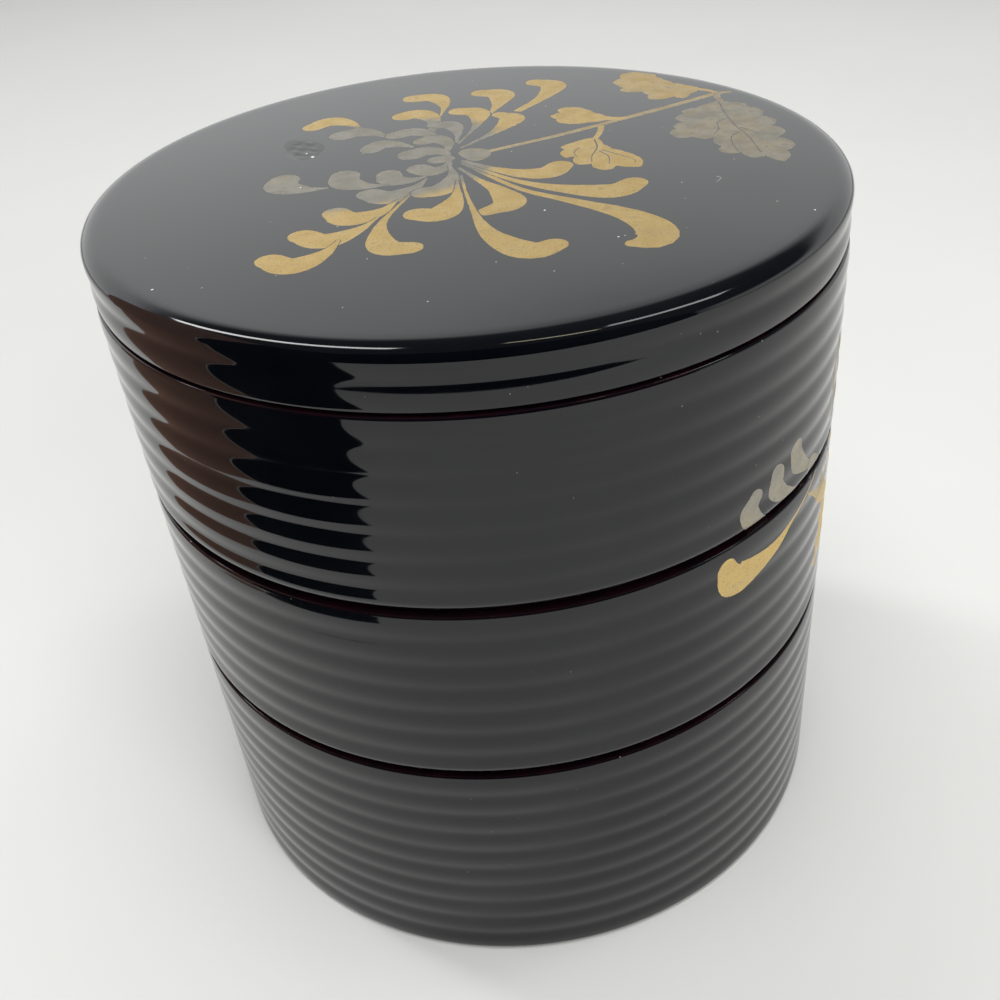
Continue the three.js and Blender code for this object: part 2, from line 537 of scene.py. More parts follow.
def powder_finish():
    finish, tree, shader, here = new_finish("gold_and_silver_powder")
    cloud = noise(tree, here, scale=120, detail=4, roughness=0.7)
    drift = ranged(tree, cloud, (0.3, 0.7), (-TONE_DRIFT, TONE_DRIFT))
    mixed = calculate(tree, "ADD", attribute(tree, "powder_tone"), drift)
    metal = blend_colour(tree, mixed, SILVER_POWDER, GOLD_POWDER)
    grain = noise(tree, here, scale=2600, roughness=0.8)
    missing = ranged(tree, grain, (0.3, 0.44), (0.55, 0))
    sifted = blend_colour(tree, missing, metal, LACQUER_GREY)
    patch = noise(tree, here, scale=320, detail=3, roughness=0.6)
    patchy = ranged(tree, patch, (0.24, 0.4), (0.35, 0))
    feed(tree, shader.inputs["Base Color"], blend_colour(tree, patchy, sifted, LACQUER_GREY))
    feed(tree, shader.inputs["Roughness"], ranged(tree, patch, (0.3, 0.7), (0.40, 0.54)))
    feed(tree, shader.inputs["Metallic"], ranged(tree, grain, (0.3, 0.5), (0.55, 0.85)))
    feed(tree, shader.inputs["Normal"], bump(tree, grain, 0.012 * MM))
    return finish


powder = powder_finish()
print(powder.name, len(powder.node_tree.nodes), "nodes")

# %% [markdown]
# The chip.
#
# On the left of the lid the lacquer was knocked, which left a shallow, dull patch with a few bright
# splinters. The patch is a real dent in the mesh. Its finish is the black without the polish: much
# rougher, a little greyer, and broken up by fine noise.

# %% Chipped lacquer and pale splinters
SCAR_DARK = (0.004, 0.004, 0.0045, 1)
SCAR_GREY = (0.02, 0.021, 0.021, 1)
SCAR_IOR = 1.39
SPLINTER_WHITE = (0.9, 0.9, 0.88, 1)
SPLINTER_GREY = (0.6, 0.6, 0.57, 1)


def chip_finish():
    finish, tree, shader, here = new_finish("chipped_lacquer")
    broken = noise(tree, here, scale=520, detail=5, roughness=0.7)
    cloud = ranged(tree, broken, (0.4, 0.62), (0, 1))
    feed(tree, shader.inputs["Base Color"], blend_colour(tree, cloud, SCAR_DARK, SCAR_GREY))
    feed(tree, shader.inputs["Roughness"], ranged(tree, broken, (0.35, 0.65), (0.14, 0.3)))
    feed(tree, shader.inputs["Normal"], bump(tree, broken, 0.03 * MM))
    shader.inputs["IOR"].default_value = SCAR_IOR
    return finish


def splinter_finish():
    finish, tree, shader, here = new_finish("pale_splinter")
    mottled = noise(tree, here, scale=1500, detail=3)
    pale = blend_colour(tree, mottled, SPLINTER_WHITE, SPLINTER_GREY)
    feed(tree, shader.inputs["Base Color"], pale)
    feed(tree, shader.inputs["Roughness"], ranged(tree, mottled, (0.3, 0.7), (0.35, 0.6)))
    feed(tree, shader.inputs["Normal"], bump(tree, mottled, 0.02 * MM))
    return finish


FINISHES = [black_lacquer, red_inside, powder, chip_finish(), splinter_finish()]
GROUND, INSIDE, POWDER, CHIP, SPLINTER = range(len(FINISHES))
print([finish.name for finish in FINISHES])

# %% [markdown]
# The profiles.
#
# Each piece has a profile, from the axis at its underside, out and up the wall, and back to the
# axis. A row of a profile holds the radius, the height, whether the ribs are cut there, whether it
# belongs to the red inside, and its share of painted maroon reflection on a rim and of wear at the
# mouth. Straight runs need only their ends.
# Walls are given ten rows for each rib, and rounded edges are given a row every few degrees.

# %% Rows of a profile
SIDES = 252
RIB_PITCH = 6.4 * MM
RIB_DEPTH = 0.26 * MM
GROOVE_SOFTNESS = 0.45
LID_RIB_DEPTH = 0.35 * MM
LID_GROOVE_SOFTNESS = 0.25
ROWS_PER_RIB = 10
ROUND_STEPS = 7
MOUTH_STEPS = 4
# The rim share and the band width set a painted reflection: a maroon glint painted on the rims. The
# mouth share is wear of the red.
GLINT_WIDTH = 0.45 * MM
RIM_GLINT_SHARE = 0.6
MOUTH_WEAR = 0.3


def rows(points, ribbed=0.0, inside=0.0, glint_and_wear=0.0):
    return [(radius, height, ribbed, inside, glint_and_wear) for radius, height in points]


def arc(centre_radius, centre_height, size, start, end, steps=ROUND_STEPS):
    points = []
    for angle in np.radians(np.linspace(start, end, steps + 1)):
        across = centre_radius + size * math.cos(angle)
        points.append((across, centre_height + size * math.sin(angle)))
    return points


def ring_rows(radius_from, radius_to, height, count, inside=0.0):
    radii = np.linspace(radius_from, radius_to, count + 1)
    return rows([(radius, height) for radius in radii], inside=inside)


def edge_inset(distance, rounding, reach):
    """How far an edge draws the wall in: an ellipse, rounding high and reach wide."""
    share = max(0.0, 1 - distance / rounding)
    return reach * (1 - math.sqrt(1 - share * share))


def rib_count(low, high):
    return max(1, round((high - low) / RIB_PITCH))


def wall_pitch(low, high):
    return (high - low) / rib_count(low, high)


def ribbed_wall(radius, low, high, low_round, high_round, rim_glint=RIM_GLINT_SHARE, reach=RIM_ROUND):
    turns = np.sin(np.linspace(0, math.pi / 2, ROUND_STEPS + 1))
    foot = low + low_round * (1 - turns[::-1])
    rim = high - high_round * (1 - turns)
    even = np.linspace(low, high, rib_count(low, high) * ROWS_PER_RIB + 1)
    between = [z for z in even if low + low_round < z < high - high_round]
    wall = []
    for height in sorted([*foot, *between, *rim]):
        inset = edge_inset(height - low, low_round, low_round)
        inset += edge_inset(high - height, high_round, reach)
        # The top of the rim takes the painted maroon reflection.
        glint_and_wear = rim_glint * max(0.0, 1 - abs(high - height) / GLINT_WIDTH)
        wall += rows([(radius - inset, height)], ribbed=1.0, glint_and_wear=glint_and_wear)
    return wall


print("ribs on the lower tier:", rib_count(0, middle_shoulder - SEAT_GAP))

# %% Profiles of the three tiers


def cup_inside(floor_top, rim_top):
    round_centre = MOUTH_RADIUS + MOUTH_ROUND
    mouth = arc(round_centre, rim_top - MOUTH_ROUND, MOUTH_ROUND, 90, 180, MOUTH_STEPS)
    flat_radius = MOUTH_RADIUS - FLOOR_FILLET
    fillet = arc(flat_radius, floor_top + FLOOR_FILLET, FLOOR_FILLET, 0, -90)
    # The top of the mouth takes the painted maroon reflection, and the red below it takes wear.
    edge = rows(mouth[:2], glint_and_wear=RIM_GLINT_SHARE) + rows(mouth[2:], inside=1.0, glint_and_wear=MOUTH_WEAR)
    floor = ring_rows(flat_radius, 0, floor_top, count=5, inside=1.0)
    return edge + rows(fillet, inside=1.0) + floor[1:]


def lower_tier_rows():
    recess = OUTER_RADIUS - BASE_RING_WIDTH
    rim_top = middle_shoulder - SEAT_GAP
    under = ring_rows(0, recess, BASE_RECESS, count=4) + rows([(recess, 0.0)])
    wall = ribbed_wall(OUTER_RADIUS, 0.0, rim_top, BASE_ROUND, RIM_ROUND)
    return under + wall + cup_inside(BASE_RECESS + FLOOR, rim_top)


def stacking_tier_rows(shoulder, rim_top, foot_round):
    foot = shoulder - FOOT_DROP
    foot_inside = PLUG_RADIUS - FOOT_RING_WIDTH
    under = ring_rows(0, foot_inside, shoulder, count=4)
    ring = rows([(foot_inside, foot), (PLUG_RADIUS, foot), (PLUG_RADIUS, shoulder)])
    wall = ribbed_wall(OUTER_RADIUS, shoulder, rim_top, foot_round, RIM_ROUND)
    return under + ring + wall + cup_inside(shoulder + FLOOR, rim_top)


print("lower tier:", len(lower_tier_rows()), "rows")

# %% [markdown]
# Turning a piece.
#
# The profile becomes a small mesh of points, the tree turns it, and the evaluated result is copied
# into a plain mesh, because the modifier has to be gone before the piece joins the frame.

# %% Turn a profile into a shell


def set_inputs(modifier, values):
    sockets = [item for item in modifier.node_group.interface.items_tree if item.in_out == "INPUT"]
    named = {socket.name: socket.identifier for socket in sockets}
    for name, value in values.items():
        modifier[named[name]] = value


def give_finishes(mesh, finishes, chosen):
    mesh.materials.clear()
    for finish in finishes:
        mesh.materials.append(finish)
    mesh.polygons.foreach_set("material_index", chosen)


def keep_all_finishes(mesh):
    """Gives the mesh all the finishes of the box, in one order, and points its faces at them."""
    held = [FINISHES.index(slot) if slot else 0 for slot in mesh.materials]
    chosen = [held[polygon.material_index] for polygon in mesh.polygons]
    give_finishes(mesh, FINISHES, chosen)


def profile_mesh(name, profile):
    mesh = bpy.data.meshes.new(name + "_profile")
    mesh.from_pydata([(row[0], 0, row[1]) for row in profile], [], [])
    for column, label in ((2, "ribbed"), (3, "inside"), (4, "rim_glint_and_wear")):
        layer = mesh.attributes.new(label, "FLOAT", "POINT")
        layer.data.foreach_set("value", [row[column] for row in profile])
    return mesh


def turn_piece(name, profile, low, high, depth=RIB_DEPTH, softness=GROOVE_SOFTNESS):
    mesh = profile_mesh(name, profile)
    lathe = bpy.data.objects.new(name + "_lathe", mesh)
    bpy.context.collection.objects.link(lathe)
    modifier = lathe.modifiers.new("turn_and_rib", "NODES")
    modifier.node_group = turn_and_rib
    set_inputs(modifier, {
        "Sides": SIDES,
        "Rib Foot": low,
        "Rib Pitch": wall_pitch(low, high),
        "Rib Depth": depth,
        "Groove Softness": softness,
        "Outside Finish": FINISHES[GROUND],
        "Inside Finish": FINISHES[INSIDE],
    })
    bpy.context.view_layer.update()
    evaluated = lathe.evaluated_get(bpy.context.evaluated_depsgraph_get())
    shell = bpy.data.meshes.new_from_object(evaluated)
    shell.name = name
    keep_all_finishes(shell)
    lathe.modifiers.remove(modifier)
    bpy.data.objects.remove(lathe)
    bpy.data.meshes.remove(mesh)
    return shell


def read_values(mesh, name):
    values = np.zeros(len(mesh.attributes[name].data))
    mesh.attributes[name].data.foreach_get("value", values)
    return values


def read_places(mesh):
    flat = np.zeros(len(mesh.vertices) * 3)
    mesh.vertices.foreach_get("co", flat)
    return flat.reshape(-1, 3)


# %% [markdown]
# Petals, leaves and stalks as outlines.
#
# The painter draws every petal in one movement of a round brush: lightly at the tail, pressed
# harder and harder to the belly, and round to a blunt head. So a petal is drawn here by a line from
# tail to head, with the brush's width at the tail, at the belly, which is the last point but one,
# and at the head. A leaf is drawn by the notches around its edge, with a round tooth between each
# two. All of these outlines are flat, in millimetres, and are laid on the box afterwards.

# %% A smooth line through points
STRETCH_STEPS = 30


def curved_stretch(before, start, end, after):
    """One stretch of a smooth curve that runs through all its points without swinging out."""
    gaps = [np.linalg.norm(b - a) ** 0.5 for a, b in ((before, start), (start, end), (end, after))]
    t0, t1, t2, t3 = np.cumsum([0.0] + gaps)
    t = np.linspace(t1, t2, STRETCH_STEPS, endpoint=False)[:, None]
    first = (before * (t1 - t) + start * (t - t0)) / (t1 - t0)
    second = (start * (t2 - t) + end * (t - t1)) / (t2 - t1)
    third = (end * (t3 - t) + after * (t - t2)) / (t3 - t2)
    early = (first * (t2 - t) + second * (t - t0)) / (t2 - t0)
    late = (second * (t3 - t) + third * (t - t1)) / (t3 - t1)
    return (early * (t2 - t) + late * (t - t1)) / (t2 - t1)


def centreline(points, count):
    """The line, its shares of the length, the share at the last point but one, and the length."""
    points = np.array(points, float)
    ends = np.vstack([2 * points[0] - points[1], points, 2 * points[-1] - points[-2]])
    stretches = [curved_stretch(*ends[k:k + 4]) for k in range(len(points) - 1)]
    fine = np.vstack(stretches + [points[-1]])
    steps = np.linalg.norm(np.diff(fine, axis=0), axis=1)
    travel = np.concatenate([[0], np.cumsum(steps)])
    share = np.linspace(0, 1, count)
    line = np.stack([np.interp(share * travel[-1], travel, fine[:, k]) for k in (0, 1)], 1)
    bend = travel[-1 - STRETCH_STEPS] / travel[-1]
    return line, share, bend, travel[-1]


def sides_of(line):
    ahead = np.gradient(line, axis=0)
    ahead /= np.linalg.norm(ahead, axis=1)[:, None]
    return np.stack([-ahead[:, 1], ahead[:, 0]], 1)


# %% [markdown]
# Loops in an outline.
#
# Where the brush turns tightly, the inner edge of its stroke crosses itself and leaves a small
# loop. The eye doesn't see it in paint, but a surface can't be cut along it. Each crossing is
# found, and the points between its two ends give way to one point.

# %% Cut off the loops
PARALLEL = 1e-9


def crossing(a, b, c, d):
    """Where the stretch from a to b meets the stretch from c to d, or None."""
    first, second = b - a, d - c
    turn = first[0] * second[1] - first[1] * second[0]
    if abs(turn) < PARALLEL:
        return None
    gap = c - a
    along = (gap[0] * second[1] - gap[1] * second[0]) / turn
    across = (gap[0] * first[1] - gap[1] * first[0]) / turn
    return a + first * along if 0 < along < 1 and 0 < across < 1 else None


def without_loops(outline):
    points = list(outline)
    start = 0
    while start < len(points) - 3:
        last = min(len(points) - 2, start + len(points) // 2)
        for end in range(last, start + 1, -1):
            meeting = crossing(points[start], points[start + 1], points[end], points[end + 1])
            if meeting is not None:
                points[start + 1:end + 1] = [meeting]
                break
        start += 1
    return np.array(points)


def softened(outline):
    return (np.roll(outline, 1, axis=0) + 2 * outline + np.roll(outline, -1, axis=0)) / 4


# %% [markdown]
# The brush.
#
# How fast the width grows along a petal depends on its shape. A long slender petal stays thin for
# most of its way and swells near its head, and a short plump one swells at once. The press is the
# power that bends the growth, and it follows from the length over the belly.

# %% Draw a petal, a stalk or a leaf
PETAL_STEPS = 44
STROKE_STEPS = 16
HEAD_STEPS = 9
TOOTH_STEPS = 5
LEAST_PRESS = 1.5
MOST_PRESS = 3.6
PRESS_START = 0.35
PRESS_PER_SLENDERNESS = 0.68
POWDER_JITTER = 0.06
jitter = np.random.default_rng(12)


def petal_outline(points, belly, tail, head, grow=0.0):
    line, share, bend, length = centreline(points, PETAL_STEPS)
    press = PRESS_START + PRESS_PER_SLENDERNESS * length * bend / belly
    growth = np.clip(share / bend, 0, 1) ** np.clip(press, LEAST_PRESS, MOST_PRESS)
    to_belly = tail + (belly - tail) * np.sin(math.pi / 2 * growth)
    ease = np.clip((share - bend) / (1 - bend), 0, 1)
    to_head = belly + (head - belly) * ease * ease * (3 - 2 * ease)
    half = (np.where(share < bend, to_belly, to_head) / 2 + grow)[:, None]
    left = sides_of(line)
    ahead = np.array([left[-1][1], -left[-1][0]])
    turns = np.linspace(0, math.pi, HEAD_STEPS + 2)[1:-1, None]
    cap = line[-1] + half[-1] * (np.cos(turns) * left[-1] + np.sin(turns) * ahead)
    outline = np.concatenate([line + left * half, cap, (line - left * half)[::-1]])
    return softened(without_loops(outline))


def stroke_outline(points, start_width, end_width, count=STROKE_STEPS):
    line = centreline(points, count)[0]
    left = sides_of(line)
    half = (np.linspace(start_width, end_width, count) / 2)[:, None]
    return np.concatenate([line + left * half, (line - left * half)[::-1]])


def toothed_outline(notches, bulge):
    notches = np.array(notches, float)
    middle = notches.mean(axis=0)
    outline = []
    for start, end in zip(notches, np.roll(notches, -1, axis=0)):
        run = end - start
        side = np.array([-run[1], run[0]])
        if np.dot(side, (start + end) / 2 - middle) < 0:
            side = -side
        for step in range(TOOTH_STEPS):
            share = step / TOOTH_STEPS
            lift = 1 - (2 * share - 1) ** 2
            outline.append(start + run * share + side * bulge * lift)
    return np.array(outline)


def sprinkled(outline):
    return outline + jitter.uniform(-POWDER_JITTER, POWDER_JITTER, outline.shape)


print("a petal has", len(petal_outline([(0, 0), (0, 10), (4, 12)], 5, 1, 4)), "points")

# %% [markdown]
# The flower on the lid.
#
# The flower is seen from the side of its head: short silver petals curl around a small cup, and
# long gold ones sweep out below. Each entry gives a petal's line from tail to head, and the brush's
# width at the belly, the tail and the head. They are painted in order, the hidden ones first.
# x runs to the right on the lid and y to the back, in millimetres from the middle.

# %% Petals on the lid
LID_PETALS = [
    ([(-5.8, 37.5), (-4.5, 47.5), (-7, 54.8), (-12.2, 55.1)], 6.0, 0.5, 5.6),
    ([(6.6, 37.5), (9.3, 45.5), (9.8, 53), (5.2, 55)], 7.2, 1.2, 5.4),
    ([(13, 37), (20.5, 47.3), (23.9, 57), (19.6, 60.4)], 6.8, 2.2, 5.2),
    ([(-24.5, 34), (-27.5, 39), (-32.5, 42), (-36.6, 38.6)], 6.3, 0.6, 5.2),
    ([(-8.4, 23), (-7.4, 36.5), (-11, 42.2), (-14.5, 41)], 6.4, 1.3, 6.0),
    ([(-1.8, 17), (3, 30), (3.3, 39.6), (-0.9, 41.3)], 6.0, 0.5, 5.4),
    ([(-1.5, 13.8), (7.6, 24.3), (11.6, 32.6), (8.8, 36)], 6.4, 0.8, 3.8),
    ([(-17.8, 26), (-21.3, 29.8), (-25.6, 31.8), (-29.1, 30.3)], 6.0, 0.8, 6.2),
    ([(-5, 17.5), (-8.3, 25.3), (-12.3, 28.6), (-16.2, 27.2)], 5.4, 0.8, 5.2),
    ([(-2.2, 18), (-1.7, 25.5), (-3.4, 31.5), (-6.6, 32.2)], 5.0, 0.7, 4.6),
    ([(-12, 17.5), (-15.3, 20.1), (-19.6, 21.4), (-21.8, 18.6)], 5.4, 0.9, 5.2),
    ([(-4.3, 12), (-4.2, 18), (-7, 22), (-9.8, 21)], 5.2, 1.0, 4.8),
    ([(-4.2, 9.5), (-5.6, 12.4), (-9.6, 14.1), (-12.6, 12.4)], 5.8, 1.5, 6.4),
    ([(-3, 8.5), (-4.6, 7.8), (-6.9, 7.5)], 4.4, 2.0, 4.4),
    ([(-4.2, 5.5), (-5.6, 2), (-8.6, 0.6), (-10.8, 2.9)], 5.4, 0.8, 5.6),
    ([(-9, -2), (-12.6, -3.7), (-16.7, -2.6), (-17.3, 0.9)], 5.8, 0.6, 5.6),
    ([(-17, -5.2), (-22, -4.9), (-26.7, -1.6), (-26.9, 2.6)], 6.8, 0.6, 6.6),
    ([(-30, -3.9), (-35.2, -3.7), (-40.5, -0.6), (-40.1, 3.2)], 7.4, 0.7, 6.8),
    ([(-9, -3), (-11.9, -8.8), (-17.5, -12.8), (-20.9, -10)], 7.0, 0.5, 6.2),
    ([(-4.2, 4.5), (-3.6, -4), (-6.2, -11), (-9.9, -11.7)], 6.2, 0.8, 5.6),
    ([(-14.8, -14), (-18.8, -20.3), (-25, -22.6), (-27.7, -18.8)], 6.9, 0.5, 5.8),
    ([(-18.8, -22.8), (-22.7, -28.6), (-29.5, -32.8), (-33.6, -29.3)], 7.0, 0.5, 6.0),
    ([(-26.2, -32.8), (-28.8, -38.8), (-34.9, -43.4), (-38.9, -40)], 7.2, 0.8, 6.0),
    ([(-12.8, -12.5), (-18.4, -28), (-17, -38.9), (-12.6, -39.8)], 6.6, 0.7, 5.4),
    ([(-2.6, -6), (-3.5, -17.5), (-7, -24.4), (-11.2, -23.3)], 7.2, 0.6, 6.0),
    ([(-2.2, 1.5), (1.5, -6.5), (5.8, -14.7), (7.4, -22), (2.8, -25.2)], 7.1, 0.9, 4.2),
    ([(-1.8, -3), (-0.5, -19.5), (3.3, -38), (10.4, -46.6), (14.4, -44.6)], 7.7, 0.6, 5.6),
    ([(-1.3, 4.3), (10.7, -15.2), (20.3, -24), (30.6, -34.2), (34.2, -42.6), (32.6, -47), (28.7, -47.4)],
     8.8, 1.2, 3.0),
    ([(-1.5, 4.5), (9.7, -9.7), (18.5, -16.3), (29.6, -20.3), (33.6, -17)], 7.7, 1.2, 6.2),
    ([(-1.5, 5.8), (6, -1.9), (12.4, -6), (17, -6.3), (19.6, -3)], 6.8, 1.4, 6.0),
]
HEART_STROKE = ([(-4.5, 15.5), (-4.4, 9.5), (-4, 3.5)], 0.9, 1.3)
print(len(LID_PETALS), "petals on the lid")

# %% [markdown]
# Where the drawing lies, and its tone.
#
# The places above were read as if the top were flat. The top swells at its middle, so there they
# sit a little nearer to the front. The tone isn't the petal's own. Silver was sifted over the
# heart of the flower and gold over the rest, so the tone follows the place on the lid, with a soft
# band where the two powders mix.

# %% Place and tone of the drawing on the lid
CROWN_SHIFT = 1.7
CROWN_REACH = 79.7
PAINT_REACH = 77.5
SILVER_MIDDLE = (-25, 12)
SILVER_HALF = (33, 27)
SILVER_TILT = 0.14
SILVER_SQUARENESS = 2.6
SILVER_EDGE = (0.8, 1.2)


def smooth_step(value, low, high):
    share = min(1.0, max(0.0, (value - low) / (high - low)))
    return share * share * (3 - 2 * share)


def carried_forward(outline):
    """Moves an outline with the crown, and keeps it inside the rim of the top."""
    swell = 1 - (np.linalg.norm(outline, axis=1) / CROWN_REACH) ** 2
    moved = outline - np.stack([np.zeros(len(outline)), CROWN_SHIFT * swell], 1)
    reach = np.linalg.norm(moved, axis=1)
    return moved * np.minimum(1, PAINT_REACH / reach)[:, None]


def lid_tone(point):
    """0 is silver and 1 is gold. Silver lies within a patch with rounded corners."""
    across = abs(point[0] - SILVER_MIDDLE[0]) / SILVER_HALF[0]
    up = abs(point[1] - SILVER_MIDDLE[1] - SILVER_TILT * point[0]) / SILVER_HALF[1]
    return smooth_step(across ** SILVER_SQUARENESS + up ** SILVER_SQUARENESS, *SILVER_EDGE)


print("tone at the heart:", lid_tone((-4, 8)), "and at a long petal:", lid_tone((20, -24)))

# %% [markdown]
# Stem and leaves on the lid.
#
# A thin stem runs from the cup to the back right edge of the lid. It carries two small gold leaves,
# a large gold one and a large silver one. The veins are left bare: they are strokes in which the
# black ground shows, painted over the leaves. The knock on the left of the lid and the few pale
# crumbs of dust that lie on the gloss are drawn in the same way.

# %% Stem, leaves and veins on the lid
LID_STROKES = [
    ([(4.6, 10.2), (20, 16.4), (37.4, 24.7), (54.4, 33.4), (62.6, 38)], 1.6, 2.0, 0.55),
    ([(62, 37.8), (64.6, 38.2), (66.8, 38.4)], 1.7, 1.3, 0.5),
    ([(31.8, 21), (30.8, 16.4), (29.2, 12.2)], 1.5, 1.2, 0.9),
    ([(31.2, 27.8), (34.4, 25.8), (38, 25)], 3.4, 1.6, 0.9),
    ([(63.4, 38.4), (62.4, 35), (62.6, 30.6)], 1.6, 1.4, 0.3),
    ([(63, 38.6), (61.2, 41), (58.8, 43)], 1.2, 1.6, 0.9),
]
SMALL_LEAF_BELOW = [
    (29.4, 13.2), (24, 11), (20.9, 8.5), (21.7, 7), (20.4, 4.5), (21.6, 1.4), (23.4, 1.8),
    (22.7, -1.4), (23.6, -3.4), (26.5, -3.6), (26.6, -5.8), (28.4, -8), (30.2, -7.9), (31.4, -6),
    (35, -7.8), (36.6, -7.9), (37.4, -3.5), (36.5, -1), (34.5, 2), (32, 4.8), (30.5, 8),
]
SMALL_LEAF_ABOVE = [
    (36, 24.7), (34, 27), (31.4, 31), (29.6, 34.5), (28, 36.2), (25, 37), (22.9, 35.6),
    (23.4, 33.4), (20.8, 31.4), (22, 28.6), (22.3, 26), (25.5, 24), (29, 24.2), (33.5, 24.7),
]
LARGE_GOLD_LEAF = [
    (59.8, 43.3), (56.6, 39.4), (54.4, 36.3), (52, 38.3), (49, 37), (46, 37.8), (46.4, 41.4),
    (45.4, 44.8), (42.6, 44.8), (40, 46.8), (41.2, 49), (40.2, 51.5), (39.2, 54.4), (41.8, 57.4),
    (42.6, 61.4), (46.6, 62), (50.8, 60.4), (50.8, 56.6), (52.2, 53), (54.2, 49.4), (57, 46.6),
]
LARGE_SILVER_LEAF = [
    (62, 31.5), (58, 30), (55.8, 27.7), (54.8, 28), (51.8, 26.2), (52.2, 24.6), (49.4, 21.8),
    (50.6, 18.6), (47.8, 16.2), (48.4, 14.4), (46.4, 12.2), (47.4, 8), (51, 7.7), (53.3, 5.6),
    (55.9, 6.6), (54.6, 2.4), (55.8, 0.4), (54.4, -2), (56.4, -5), (59.2, -4.8), (60.4, -8.6),
    (62.2, -8.8), (63.7, -8.2), (66.5, -12.6), (69, -8.8), (68.8, -6.2), (71.4, -3.6), (71.4, -0.6),
    (69.1, 2.8), (71.8, 5.8), (71.4, 8.8), (69.7, 10.5), (71.8, 14.4), (69.1, 18.5), (70.6, 21.4),
    (69.4, 24.4), (67.8, 26), (67.4, 28.8), (64.6, 30),
]
LID_LEAVES = [
    (SMALL_LEAF_BELOW, 1.0),
    (SMALL_LEAF_ABOVE, 1.0),
    (LARGE_GOLD_LEAF, 0.78),
    (LARGE_SILVER_LEAF, 0.12),
]
LID_VEINS = [
    ([(62, 31.4), (61.5, 22.4), (61.8, 13), (62.9, 5.9), (63.2, -5.9)], 0.45, 0.2),
    ([(61.1, 18.6), (58.5, 16.3), (57.5, 11.1), (55.6, 7.8)], 0.35, 0.2),
    ([(61.5, 8.2), (59.4, 5.9), (58.5, 1.2), (58.5, -4.5)], 0.35, 0.2),
    ([(62.5, 11.5), (66, 6.4), (68.6, 4.3)], 0.3, 0.15),
    ([(29, 12), (28.9, 6.4), (27.1, 1.2), (26.6, -2.6)], 0.4, 0.2),
    ([(25, 7.3), (23.6, 4.9), (23.8, 1.6)], 0.3, 0.15),
    ([(29.1, 4), (30.6, 0.2), (30.2, -4.5)], 0.35, 0.15),
    ([(29.7, 4.5), (34.4, -1.2), (35.9, -3.5), (35.6, -5.4)], 0.35, 0.15),
]
print(len(LID_LEAVES), "leaves,", len(LID_VEINS), "veins")

# %% Cup, knock and crumbs on the lid
FLOWER_CUP = [
    (-1.9, 11), (-1.5, 9), (-0.8, 7.6), (0.6, 5.2), (2, 4.7), (3.6, 5.4), (4.8, 7), (5.3, 9),
    (5.2, 10.6), (3.2, 12.6), (1, 13.2), (-1, 12.7),
]
CHIP_EDGE = [
    (-41.4, 30.4), (-38.6, 29), (-36.4, 27), (-34.2, 26.6), (-32.8, 23.6), (-33.4, 19.6),
    (-34.6, 16.4), (-37, 15.4), (-38.6, 17), (-39.6, 20.4), (-41.6, 23.6), (-42.2, 27),
]
SPLINTERS = [((-35, 17), 0.6), ((-36.6, 19.8), 0.35)]
CRUMBS = [
    ((14.1, -27.4), 0.38), ((26.6, -43.8), 0.34), ((27.9, -43.4), 0.22), ((-36.2, -2.1), 0.36),
    ((-59.4, -48.2), 0.42), ((65.5, -39.9), 0.36), ((-9.4, -63.8), 0.24), ((20.4, 39.6), 0.26),
]
SCRATCH = [(50.2, -20.6), (51.6, -18.8), (50.8, -17.4)]
SCRATCH_WIDTH = 0.06
SCRATCH_STEPS = 6
print(len(CRUMBS), "crumbs")

# %% [markdown]
# Laying a drawing on a surface.
#
# Powder that has sunk into lacquer has no edge to feel, so the petals mustn't stand proud. The
# drawing and the net of the surface are triangulated together, and each triangle then takes the
# finish of the last thing painted over it. Just before a petal, a slightly larger patch of bare
# ground is painted, which leaves the thin dark gap that keeps two petals apart.

# %% Triangulate a drawing into a surface
PETAL_GAP = 0.22
SMALLEST_AREA = 0.01
POINT_SNAP = 0.002


def signed_area(outline):
    after = np.roll(outline, -1, axis=0)
    return np.sum(outline[:, 0] * after[:, 1] - outline[:, 1] * after[:, 0]) / 2


def even_tone(tone):
    return lambda point: tone


def unchanged(outline):
    return outline


class Drawing:
    def __init__(self, border, net, placed=unchanged):
        self.placed = placed
        self.points = [tuple(point) for point in border] + [tuple(point) for point in net]
        self.faces = [list(range(len(border)))]
        self.paint = [(GROUND, None)]

    def add(self, outline, kind, tone=None):
        outline = self.placed(np.array(outline, float))
        area = signed_area(outline)
        if abs(area) < SMALLEST_AREA:
            return
        start = len(self.points)
        self.points += [tuple(point) for point in (outline if area > 0 else outline[::-1])]
        self.faces.append(list(range(start, len(self.points))))
        self.paint.append((kind, tone))

    def petal(self, points, belly, tail, head, tone, trim=unchanged):
        bare = trim(petal_outline(points, belly, tail, head, grow=PETAL_GAP))
        laid = trim(sprinkled(petal_outline(points, belly, tail, head)))
        if len(laid) > 2 and len(bare) > 2:
            self.add(bare, GROUND)
            self.add(laid, POWDER, tone)

    def triangles(self):
        """Flat places, and each triangle within the border with the last outline painted over it."""
        places = [Vector(point) for point in self.points]
        found = delaunay_2d_cdt(places, [], self.faces, 1, POINT_SNAP, True)
        flat = np.array([(point.x, point.y) for point in found[0]])
        pairs = zip(found[2], found[5])
        return flat, [(corners, max(owners)) for corners, owners in pairs if 0 in owners]


# %% Make the mesh of a drawing


def drawing_mesh(name, drawing, lift):
    flat, kept = drawing.triangles()
    mesh = bpy.data.meshes.new(name)
    mesh.from_pydata([lift(point) for point in flat], [], [corners for corners, _ in kept])
    give_finishes(mesh, FINISHES, [drawing.paint[top][0] for _, top in kept])
    tones = []
    for corners, top in kept:
        tone = drawing.paint[top][1]
        tones += [0.0 if tone is None else tone(flat[corner]) for corner in corners]
    layer = mesh.attributes.new("powder_tone", "FLOAT", "CORNER")
    layer.data.foreach_set("value", tones)
    print(name, len(kept), "triangles,", len(drawing.faces) - 1, "outlines")
    return mesh


